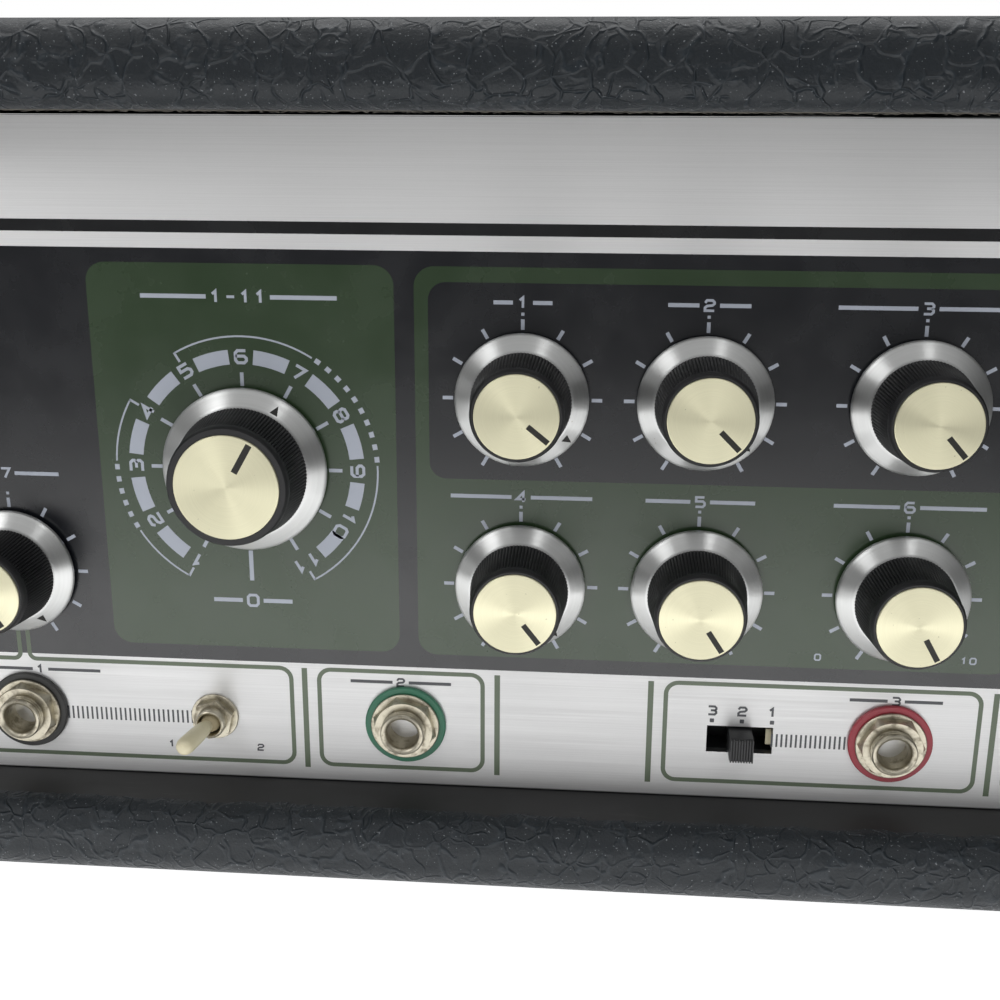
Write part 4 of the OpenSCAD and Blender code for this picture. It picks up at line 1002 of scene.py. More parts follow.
@dataclass(frozen=True)
class KnobStyle:
    """Sizes of a knob in millimetres."""

    skirt: float = 13.45
    base: float = 10.1
    rim: float = 9.1
    cap: float = 8.15
    height: float = 17.0
    flutes: int = 92
    bar: float = 1.1
    arrow: float = 12.1
    seat: float = 4.0
    flute_depth: float = 0.36

    def grip(self) -> list[tuple]:
        """Profile of the fluted grip with its smooth rim."""
        top = self.height - 0.35
        band = top - 1.9
        base, rim, cap, seat, floor = self.base, self.rim, self.cap, self.seat, self.height - 1.0
        return [(0, seat), (base - 0.2, seat), (base, seat + 0.15, 0.1),
                (base - 0.02, seat + 0.5, self.flute_depth), (rim + 0.04, band - 0.3, self.flute_depth),
                (rim - 0.02, band), (rim - 0.05, band + 0.9), (rim - 0.2, band + 1.45), (rim - 0.5, top),
                (cap + 0.12, top), (cap + 0.06, top - 0.25), (cap + 0.06, floor), (0, floor)]

    def skirt_profile(self) -> list[tuple]:
        """Profile of the turned skirt."""
        skirt, base, bore = self.skirt, self.base, 6.6
        return [(bore, 1.0), (skirt - 0.12, 1.0), (skirt, 1.12), (skirt, 1.8), (skirt - 0.12, 1.98),
                (skirt - 0.5, 2.3), (base + 0.5, 3.75), (base + 0.2, 3.95), (base - 0.4, self.seat),
                (bore, self.seat)]

    def cap_profile(self) -> list[tuple]:
        """Profile of the inlaid cap, its face very slightly domed."""
        top = self.height
        return [(0, top - 1.0), (self.cap, top - 1.0), (self.cap, top - 0.12), (self.cap - 0.12, top - 0.02),
                (self.cap - 0.5, top), (self.cap * 0.6, top), (self.cap * 0.25, top), (0.6, top), (0, top)]


@dataclass(frozen=True)
class Knob:
    """One control: a fluted grip, a turned skirt, an inlaid cap and its pointers."""

    name: str
    x: float
    z: float
    turn: float
    style: KnobStyle = KnobStyle()

    def build(self, unit: Unit) -> None:
        """Makes the knob's pieces, which ride on the knob's own body."""
        place = unit.panel.matrix(self.x, self.z, 0, self.turn)
        finish, style, body = unit.finish, self.style, self.name + "_knob_body"
        grip = finish_mesh(self.name + "_grip", revolve(style.grip(), 6, style.flutes), finish.grip)
        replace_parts(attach(put(grip, place), body), self.name + "_knob")
        skirt = finish_mesh(self.name + "_skirt", revolve(style.skirt_profile(), 128), finish.skirt)
        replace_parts(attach(put(skirt, place), body), self.name + "_knob_metal")
        cap = finish_mesh(self.name + "_cap", revolve(style.cap_profile(), 128), finish.cap)
        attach(put(cap, place), body)
        shaft = revolve([(0, -10), (3.0, -10), (3.0, 11.8), (2.8, 12.0), (0, 12.0)], 32)
        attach(put(finish_mesh(self.name + "_shaft", shaft, finish.steel), place), body)
        pointer = Print(style.height - 0.3, style.height + 0.03)
        half = style.bar / 2
        pointer.fill(rectangle(-half, 0.34 * style.cap, half, 0.955 * style.cap))
        bar = put(finish_mesh(self.name + "_pointer", pointer.mesh, finish.pointer, None), place)
        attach(join([bar, self._arrow(unit, place)]), body)

    def _arrow(self, unit: Unit, place: Matrix) -> Object:
        """The small dark arrow on the skirt's slope, in line with the pointer."""
        style = self.style
        run = (style.skirt - 0.5) - (style.base + 0.5)
        corners = ((-0.85, style.arrow - 0.9), (0.85, style.arrow - 0.9), (0, style.arrow + 0.85))
        mesh = bmesh.new()
        sides = [[mesh.verts.new((x, r, 3.75 - 1.45 * (r - style.base - 0.5) / run + lift))
                  for x, r in corners] for lift in (-0.2, 0.05)]
        mesh.faces.new(list(reversed(sides[0])))
        mesh.faces.new(sides[1])
        for i in range(3):
            mesh.faces.new((sides[0][i], sides[0][(i + 1) % 3], sides[1][(i + 1) % 3], sides[1][i]))
        return put(finish_mesh(self.name + "_arrow", outward(mesh), unit.finish.pointer, None), place)


MODE_STYLE = KnobStyle(skirt=17.15, base=13.6, rim=12.3, cap=10.55, height=15.5, flutes=120, bar=1.3,
                       arrow=15.1)

KNOBS = (
    Knob("mode", 0.0, 0.0, 30.0, MODE_STYLE),
    *(Knob(name, x, UPPER_Z, turn)
      for name, x, turn in zip(("bass", "treble", "reverb"), TONE_X, (129.0, 135.0, 138.5))),
    *(Knob(name, x, LOWER_Z, turn)
      for name, x, turn in zip(("rate", "intensity", "echo"), TONE_X, (142.0, 146.5, 150.0))),
    *(Knob(name, x, LOWER_Z, turn)
      for name, x, turn in zip(("instrument", "mic_1", "mic_2"), INPUT_X, (148.0, 150.0, 150.0))),
)


@dataclass(frozen=True)
class Jack:
    """A quarter inch jack: washer, nut with its round face, threaded bush and body."""

    name: str
    place: Matrix
    plate: float
    washer: Material | None
    turn: float = 0.0
    bore: float = 3.3
    bush: float = 4.7
    nut: float = 7.15
    length: float = 24.0

    def build(self, unit: Unit) -> Object:
        """Makes the jack, and returns the piece that stands for its metal."""
        seat = 1.0 if self.washer else 0.05
        finish = unit.finish
        end = -self.plate - self.length
        bush = revolve([(self.bore, end), (self.bore, 4.9), (3.45, 5.5), (3.75, 5.86), (4.1, 6.0),
                        (4.45, 5.9), (4.68, 5.6), (self.bush - 0.12, 5.0), (self.bush - 0.12, 3.0),
                        (self.bush, 2.9), (self.bush, -self.plate - 1), (self.bush, end)], 64)
        parts = [finish_mesh(self.name, bush, finish.nickel)]
        face = revolve([(self.bush, seat), (7.25, seat), (7.4, seat + 0.15), (7.4, seat + 0.55),
                        (7.25, seat + 0.7), (self.bush, seat + 0.7)], 64)
        parts.append(finish_mesh("face", face, finish.nickel))
        nut = Print(seat + 0.6, seat + 2.6)
        nut.band(circle(self.nut, 36, self.turn), circle(self.bush - 0.1, 36, self.turn))
        self._make_hexagon(nut.mesh, seat + 2.6)
        parts.append(finish_mesh("nut", nut.mesh, finish.nickel, 20))
        parts.append(unit.trees.rings.make("thread", Count=2, Pitch=0.75, Start=4.0, Radius=self.bush - 0.12,
                                           Wire=0.17, Around=48, Finish=finish.nickel))
        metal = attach(put(join(parts), self.place), "case")
        box = box_mesh((-9, -7.5, -self.plate - 26), (9, 7.5, -self.plate), 0.6)
        inner = put(finish_mesh(self.name + "_body", box, finish.black), self.place)
        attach(inner, "case")
        self._hollow(inner)
        if self.washer:
            ring = revolve([(4.75, 0.02), (8.6, 0.02), (8.75, 0.17), (8.75, 0.8), (8.55, 1.0), (4.75, 1.0)],
                           72)
            washer = put(finish_mesh(self.name + "_washer", ring, self.washer), self.place)
            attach(washer, "case")
        return metal

    def _make_hexagon(self, mesh: BMesh, top: float) -> None:
        """Pulls a round nut's wall in to six flats, with a chamfer left round its top corners."""
        outward(mesh)
        flat = self.nut * math.cos(math.pi / 6)
        for vert in mesh.verts:
            radius = math.hypot(vert.co.x, vert.co.y)
            if radius < self.nut - 0.01:
                continue
            angle = math.degrees(math.atan2(vert.co.y, vert.co.x)) - self.turn
            off = math.radians((angle + 30) % 60 - 30)
            wanted = flat / math.cos(off)
            if vert.co.z > top - 0.01:
                wanted = min(wanted, flat + 0.02)
            vert.co.x *= wanted / radius
            vert.co.y *= wanted / radius

    def _hollow(self, body: Object) -> None:
        """Cuts the plug's bore into the body, by a boolean that is applied."""
        end = -self.plate - 23
        core = revolve([(0, end), (4.8, end), (4.8, 2), (0, 2)], 48)
        drill = put(finish_mesh("drill", core, body.data.materials[0]), self.place)
        cut = body.modifiers.new("bore", "BOOLEAN")
        cut.object = drill
        cut.operation = "DIFFERENCE"
        body.data = baked(body)
        body.modifiers.remove(cut)
        bpy.data.objects.remove(drill)


class Jacks:
    """Every jack on the front and the rear panel."""

    REAR = ((-150.0, 62.0), (-122.0, 62.0))
    ROW = -56.4

    def build(self, unit: Unit) -> None:
        """Makes the jacks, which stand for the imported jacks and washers."""
        finish, panel = unit.finish, unit.panel
        black = finish.washer_black
        front = (("mic_2", INPUT_X[2], black, 8), ("mic_1", INPUT_X[1], black, 21),
                 ("instrument", INPUT_X[0], black, 5), ("second", 32.4, finish.washer_green, 14),
                 ("output", 135.3, finish.washer_red, 28))
        metal = [Jack(name + "_jack", panel.matrix(x, self.ROW), 2.0, washer, turn).build(unit)
                 for name, x, washer, turn in front]
        rear_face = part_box("rear_panel")[1].y
        outward = Matrix.Rotation(-math.pi / 2, 4, "X") @ TO_METRES
        for i, (x, z) in enumerate(self.REAR):
            place = Matrix.Translation((x * MM, rear_face, z * MM)) @ outward
            metal.append(Jack(f"rear_jack_{i}", place, 1.5, None, 11 * i).build(unit))
        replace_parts(metal[0], "jacks", "jack_washers")


class Toggles:
    """The two lever switches and the slide switch."""

    PIVOT = 3.0
    LEAN = 10.0
    ECHO_X, POWER_X = -9.8, 171.0
    SLIDE = (104.0, -57.05)
    WINDOW = (97.05, -60.1, 110.95, -54.0)

    def build(self, unit: Unit) -> None:
        """Makes the switches' bodies, nuts and levers."""
        finish, panel = unit.finish, unit.panel
        echo = panel.matrix(self.ECHO_X, Jacks.ROW)
        power = panel.matrix(self.POWER_X, Jacks.ROW)
        first = self._body(unit, "echo_switch", echo, 17.0, (6.0, 4.5))
        self._body(unit, "power_switch", power, 4.0, (4.5, 6.0))
        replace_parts(first, "switch_bodies")
        lean = Matrix.Translation((0, 0, self.PIVOT)) @ Matrix.Rotation(math.radians(-self.LEAN), 4, "Y")
        lever = put(finish_mesh("echo_lever", self._bat(), finish.ivory), echo @ lean)
        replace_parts(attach(lever, "toggle"), "toggle_lever")
        boot = revolve([(0, -0.9), (2.15, -0.9), (2.1, 0.6), (1.75, 1.5), (1.25, 2.3), (0, 2.3)], 32)
        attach(put(finish_mesh("echo_lever_root", boot, finish.lever_dirt), echo @ lean), "toggle")
        nod = Matrix.Translation((0, 0, self.PIVOT)) @ Matrix.Rotation(math.radians(self.LEAN), 4, "X")
        bat = put(finish_mesh("power_lever_bat", self._bat(), finish.chrome), power @ nod)
        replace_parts(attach(bat, "power"), "power_lever")
        self._slide(unit)

    def _bat(self) -> BMesh:
        """A thick lever that swells towards its round nose."""
        return revolve([(0, -1.6), (1.3, -1.4), (1.9, -0.4), (1.9, 0.4), (1.3, 1.4), (1.28, 2.2), (1.62, 3.6),
                        (1.8, 6.0), (1.9, 9.0), (1.93, 11.4), (1.86, 12.3), (1.6, 13.0), (1.1, 13.45),
                        (0.5, 13.58), (0, 13.6)], 40)

    def _body(self, unit: Unit, name: str, place: Matrix, turn: float, half: Point) -> Object:
        """Makes one switch's nut, bush and body."""
        nickel = unit.finish.nickel
        bush = revolve([(2.45, -3), (2.45, 4.6), (2.6, 4.85), (2.9, 4.95), (3.1, 4.8), (3.18, 4.4),
                        (3.18, -3)], 48)
        ring = revolve([(3.2, 0.05), (5.1, 0.05), (5.2, 0.15), (5.2, 0.5), (5.1, 0.6), (3.2, 0.6)], 48)
        nut = Print(0.55, 2.5)
        nut.band(circle(4.6, 6, turn), circle(3.15, 6, turn))
        parts = [finish_mesh(name + "_bush", bush, nickel), finish_mesh("ring", ring, nickel),
                 finish_mesh("nut", outward(nut.mesh), nickel, 20),
                 unit.trees.rings.make("thread", Count=3, Pitch=0.6, Start=2.9, Radius=3.1, Wire=0.14,
                                       Around=40, Finish=nickel)]
        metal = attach(put(join(parts), place), "case")
        block = box_mesh((-half[0], -half[1], -16), (*half, -2.1), 0.5)
        body = put(finish_mesh(name + "_body", block, unit.finish.black), place)
        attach(body, "case")
        return metal

    def _slide(self, unit: Unit) -> None:
        """Makes the slide switch's channel, its contact strip and its ribbed slider.

        The slider's stem is narrower than its block on the right, so that it passes the contact strip.
        """
        place = unit.panel.matrix(*self.SLIDE)
        walls = Print(-8.3, -2.05)
        black = unit.finish.black
        body = rectangle(-14, -6, 14, 6)
        walls.band(body, rectangle(-6.95, -3.05, 6.95, 3.05))
        floor = Print(-12.0, -8.3)
        floor.fill(body)
        channel = join([walls.solid("slide_channel", black), floor.solid("floor", black)])
        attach(put(channel, place), "case")
        block = finish_mesh("slide_block", box_mesh((-2.5, -2.65, -1.6), (2.5, 2.65, 5.2), 0.35, 3), black)
        stem = finish_mesh("stem", box_mesh((-2.2, -2.4, -6), (1.2, 2.4, -1.4), 0.1), black)
        ribs = unit.trees.bars.make("slide_ribs", Count=9, Pitch=0.56, Width=0.3, Height=5.0, Thickness=0.9,
                                    Lift=5.4, Finish=black)
        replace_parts(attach(put(join([block, stem, ribs]), place), "slider_body"), "slider")
        strip = box_mesh((5.7, -1.8, -2.4), (6.9, 1.8, -2.0), 0.05)
        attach(put(finish_mesh("slide_contact", strip, unit.finish.ivory), place), "case")


class InkLevel:
    """Heights of the print's layers above the panel, in millimetres."""

    BOTTOM = -0.01
    SKIN = 0.01
    FIELD = 0.025
    BOX = 0.04
    INNER = 0.055
    LINE = 0.07


class FrontPrint:
    """Fields, boxes, dials and lines that are printed on the panel."""

    MARGIN_X, MARGIN_Z = 0.3, 0.2
    STRIPE = (47.85, 50.22)
    FIELD = (-43.16, 44.82)
    MODE_BOX = (-31.0, -39.8, 31.4, 41.95, 4.0)
    TONE_BOX = (35.4, -40.0, 158.3, 41.9, 4.0)
    TONE_INNER = (38.2, -1.07, 155.5, 38.85, 3.5)
    FRAMES = ((13.6, 49.1), (88.1, 153.2), (159.3, 183.0))
    PIPED = ((-69.0, 7.5, -51.63), (-110.7, -75.2, -93.0), (-152.4, -116.9, -134.7))
    BARS = (10.43, 52.23, 84.89, 156.22, -72.1, -113.8, -155.5)
    HATCHES = ((-43.0, -15.0, 27), (110.8, 127.0, 17))
    HATCH_Z = -56.9
    SLIDE_MARKS = (98.0, 104.3, 110.6)
    FRAME_Z = (-67.0, -44.45)
    BAR_Z = (-67.9, -44.3)
    LINE = 0.95
    CORNER = 2.6
    NUMBER_RING = 23.3
    OUTER_RING = 27.46
    OUTER_ARCS = ((-150.5, -121.0, -88.0, -59.5), (-30.0, 32.0, 87.5, 150.5))

    def __init__(self, unit: Unit) -> None:
        """Keeps what every part of the print needs."""
        self.unit = unit
        self.low, self.high = unit.box("front_panel")
        self.pale: list[Object] = []
        self.dark: list[Object] = []

    def build(self) -> None:
        """Prints the whole panel."""
        self._fields()
        self._lower_strip()
        self._dials()
        self._mode_dial()
        self._labels()
        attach(join(self.pale), "case").name = "print_pale"

    def _fields(self) -> None:
        """Dark stripe and field with the meter's window left out, green boxes and the dark box inside."""
        finish, panel = self.unit.finish, self.unit.panel
        left, right = self.low.x + self.MARGIN_X, self.high.x - self.MARGIN_X
        skin = Print(InkLevel.BOTTOM, InkLevel.SKIN)
        skin.fill(rectangle(left, self.FIELD[1], right, self.high.y - self.MARGIN_Z))
        skin.band(rectangle(left, self.low.y + self.MARGIN_Z, right, self.FIELD[0]),
                  rectangle(*Toggles.WINDOW))
        skin.build("panel_skin", finish.aluminium, panel)
        stripe = Print(InkLevel.BOTTOM, InkLevel.FIELD)
        stripe.fill(rectangle(left, self.STRIPE[0], right, self.STRIPE[1]))
        stripe.build("print_stripe", finish.stripe_ink, panel)
        low, high = self.unit.box("vu_lens")
        field = Print(InkLevel.BOTTOM, InkLevel.FIELD)
        field.band(rectangle(left, self.FIELD[0], right, self.FIELD[1]),
                   rectangle(low.x - 1, low.y - 1, high.x + 1, high.y + 1))
        field.build("print_field", finish.black_ink, panel)
        boxes = Print(InkLevel.BOTTOM, InkLevel.BOX)
        boxes.fill(round_box(*self.MODE_BOX))
        boxes.fill(round_box(*self.TONE_BOX))
        boxes.build("print_boxes", finish.green_ink, panel)
        inner = Print(InkLevel.BOTTOM, InkLevel.INNER)
        inner.fill(round_box(*self.TONE_INNER))
        inner.build("print_inner", finish.black_ink, panel)

    def _lower_strip(self) -> None:
        """Line boxes, bars and hatching round the jacks and switches."""
        lines = Print(InkLevel.BOTTOM, InkLevel.BOX)
        for x0, x1 in self.FRAMES:
            lines.frame(x0, self.FRAME_Z[0], x1, self.FRAME_Z[1], self.CORNER, self.LINE)
        for x0, x1, knob in self.PIPED:
            lines.stroke(self._piped(x0, x1, knob), self.LINE)
        for x in self.BARS:
            lines.line((x, self.BAR_Z[0]), (x, self.BAR_Z[1]), 1.2)
        lines.build("print_lines", self.unit.finish.line_ink, self.unit.panel)
        dark = self.unit.finish.text_ink
        hatches = []
        for x0, x1, count in self.HATCHES:
            rows = self.unit.trees.bars.make("hatch", Count=count, Pitch=(x1 - x0) / (count - 1), Width=0.42,
                                             Height=3.0, Thickness=0.03, Lift=0.005, Finish=dark)
            hatches.append(put(rows, self.unit.panel.matrix((x0 + x1) / 2, self.HATCH_Z)))
        for i, x in enumerate(self.SLIDE_MARKS):
            hatches.append(self._number(str(3 - i), x, -50.5, 2.3, dark))
            dot = Print(InkLevel.BOTTOM, InkLevel.FIELD)
            dot.fill(round_box(x - 0.45, -53.25, x + 0.45, -52.35, 0.1, 1))
            hatches.append(put(dot.solid("dot", dark), self.unit.panel.matrix()))
        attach(join(hatches), "case").name = "print_hatch"

    def _piped(self, x0: float, x1: float, knob: float) -> list[Point]:
        """Open outline of a box that rises to a knob in two lines, with a round corner at each turn."""
        low, high = self.FRAME_Z
        r, foot, gap, top = self.CORNER, 1.5, 1.04, -36.5
        turns = ((knob + gap + foot, high + foot, foot, 270, 180), (x1 - r, high - r, r, 0, 90),
                 (x1 - r, low + r, r, 90, 180), (x0 + r, low + r, r, 180, 270),
                 (x0 + r, high - r, r, 270, 360), (knob - gap - foot, high + foot, foot, 180, 90))
        points = [(knob + gap, top)]
        for cx, cz, radius, start, end in turns:
            points += [compass(start + (end - start) * i / 6, radius, (cx, cz)) for i in range(7)]
        return points + [(knob - gap, top)]

    def _number(self, text: str, x: float, z: float, size: float, ink: Material,
                turn: float = 0.0) -> Object:
        """One printed number, upright or turned."""
        place = self.unit.panel.matrix(x, z, 0, turn)
        return numeral(text, size, place, InkLevel.BOTTOM, InkLevel.LINE, ink)

    def _marks(self, x: float, z: float, outer: float, inner: float, count: int, first: float, step: float,
               width: float) -> None:
        """Ticks round a dial, placed by their outer and inner radius."""
        ticks = self.unit.trees.marks.make(
            "ticks", Count=count, Start=math.radians(first), Step=math.radians(step),
            Radius=(outer + inner) / 2, Length=outer - inner, Width=width,
            Thickness=InkLevel.LINE - InkLevel.BOTTOM, Lift=(InkLevel.LINE + InkLevel.BOTTOM) / 2,
            Finish=self.unit.finish.pale_ink)
        self.pale.append(put(ticks, self.unit.panel.matrix(x, z)))

    def _dials(self) -> None:
        """Eleven ticks and a dot at the top of each small knob."""
        for knob in KNOBS[1:]:
            self._marks(knob.x, knob.z, 16.0, 13.9, 11, DIAL_START, DIAL_STEP, 0.72)
            self._marks(knob.x, knob.z, 17.3, 16.7, 1, 0, DIAL_STEP, 0.62)

    def _mode_dial(self) -> None:
        """Ticks, numbers one to eleven, the arcs between them and the two thin arcs outside."""
        pale = self.unit.finish.pale_ink
        self._marks(0, 0, 20.1, 17.3, 11, DIAL_START, DIAL_STEP, 0.75)
        self._marks(0, 0, 24.6, 17.9, 1, 180, DIAL_STEP, 0.9)
        rings = Print(InkLevel.BOTTOM, InkLevel.LINE)
        for i in range(10):
            start = DIAL_START + DIAL_STEP * i
            rings.arc(self.NUMBER_RING, 3.0, start + 6.2, start + (20.0 if i > 7 else 23.8))
        for start, gap_start, gap_end, end in self.OUTER_ARCS:
            rings.arc(self.OUTER_RING, 0.36, start, gap_start)
            rings.arc(self.OUTER_RING, 0.36, gap_end, end)
            for angle in (start, end):
                rings.line(compass(angle, 25.4), compass(angle, 27.6), 0.5)
            dashes = round((gap_end - gap_start) / 5.5)
            step = (gap_end - gap_start) / dashes
            for i in range(dashes):
                rings.arc(self.OUTER_RING, 1.0, gap_start + (i + 0.28) * step, gap_start + (i + 0.72) * step)
        self.pale.append(put(rings.solid("rings", pale), self.unit.panel.matrix()))
        for i in range(11):
            angle = DIAL_START + DIAL_STEP * i
            x, z = compass(angle, self.NUMBER_RING)
            self.pale.append(self._number(str(i + 1), x, z, 3.1, pale, angle))

    def _label(self, text: str, x0: float, x1: float, z0: float, z1: float, ink: Material) -> None:
        """A plain number between two short bars, as wide as the place that it fills."""
        middle, level = (x0 + x1) / 2, (z0 + z1) / 2
        target = self.pale if ink == self.unit.finish.pale_ink else self.dark
        target.append(self._number(text, middle, level, z1 - z0, ink))
        bars = Print(InkLevel.BOTTOM, InkLevel.LINE)
        gap = (z1 - z0) * 0.55 * len(text) + 0.6
        half = min(0.45, 0.16 * (z1 - z0))
        for start, end in ((x0, middle - gap), (middle + gap, x1)):
            if end - start > 0.8:
                bars.fill(rectangle(start, level - half, end, level + half))
        if bars.mesh.verts:
            target.append(put(bars.solid("bars", ink), self.unit.panel.matrix()))

    def _labels(self) -> None:
        """Numbers where the controls are told apart: upper row, lower row, inputs and jacks."""
        pale, dark = self.unit.finish.pale_ink, self.unit.finish.text_ink
        rows = ((TONE_X, (5.8, 8.0, 17.0), 33.8, 36.3), (TONE_X, (14.5, 11.0, 15.0), -5.9, -3.4),
                (INPUT_X, (11.5, 11.5, 11.5), -3.6, -1.1))
        for row, (columns, halves, z0, z1) in enumerate(rows):
            for i, (x, half) in enumerate(zip(columns, halves)):
                self._label(str(i + 1 + 3 * row), x - half, x + half, z0, z1, pale)
        self._label("1-11", -20.0, 20.0, 34.0, 36.7, pale)
        self._label("0", -8.5, 8.5, -30.6, -27.6, pale)
        for text, x, z in (("0", 119.0, -37.5), ("10", 149.6, -37.2)):
            self.pale.append(self._number(text, x, z, 1.6, pale))
        jacks = ((-62.0, -35.0), (20.5, 42.3), (126.3, 145.4), (-103.5, -82.5), (-145.5, -124.5))
        for i, (x0, x1) in enumerate(jacks):
            self._label(str(i + 1), x0, x1, -47.9, -45.8, dark)
        for text, x in (("1", -20.0), ("2", 0.0)):
            self.dark.append(self._number(text, x, -63.6, 1.7, dark))
        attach(join(self.dark), "case").name = "print_numbers"


class Meter:
    """Level meter and peak lamp, with a plain scale."""

    CARD = (-6.0, -5.85)
    SCALE = (-5.85, -5.80)
    ARC, TICK_END = 18.2, 20.6

    def build(self, unit: Unit) -> None:
        """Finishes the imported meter, and adds its card, scale and hub cover."""
        finish = unit.finish
        unit.adopt(finish.black, "vu_case")
        unit.adopt(finish.needle, "vu_needle")
        unit.adopt(finish.clear, "vu_lens")
        unit.adopt(finish.red, "peak_lamp")
        low, high = unit.box("vu_lens")
        place = unit.panel.matrix((low.x + high.x) / 2, (low.y + high.y) / 2)
        width, height = high.x - low.x - 0.4, high.y - low.y - 0.4
        pivot = (0.0, -height / 2 + 2.3)
        card = Print(*self.CARD)
        card.band(rectangle(-width / 2, -height / 2, width / 2, height / 2),
                  rectangle(-1.2, pivot[1] - 1.2, 1.2, pivot[1] + 1.2))
        self._add(card, "meter_card", finish.white, place)
        for name, ink, start, end, width, ticks in (
                ("meter_scale", finish.needle, -45, 12, 0.35, range(-45, 13, 8)),
                ("meter_scale_end", finish.scale_red, 12, 45, 0.9, (20, 28, 36, 44))):
            scale = Print(*self.SCALE)
            scale.arc(self.ARC, width, start, end, pivot)
            for angle in ticks:
                scale.line(compass(angle, self.ARC, pivot), compass(angle, self.TICK_END, pivot), 0.35)
            self._add(scale, name, ink, place)
        numbers = []
        for text, angle in (("20", -42), ("10", -22), ("5", -4), ("0", 13), ("3", 40)):
            x, y = compass(angle, 15.6, pivot)
            spot = place @ Matrix.Translation((x, y, 0))
            numbers.append(numeral(text, 1.9, spot, *self.SCALE, finish.needle))
        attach(join(numbers), "case").name = "meter_numbers"
        skirt = Print(0.05, 0.75)
        outline = circle(7.5, 40, 0, (0, -height / 2 - 1.5))
        skirt.fill([(x, max(y, -height / 2)) for x, y in outline if y > -height / 2 - 0.6])
        self._add(skirt, "meter_hub_cover", finish.black, place)

    def _add(self, slab: Print, name: str, material: Material, place: Matrix) -> None:
        """Puts one slab of the meter in its place."""
        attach(put(slab.solid(name, material), place), "case")


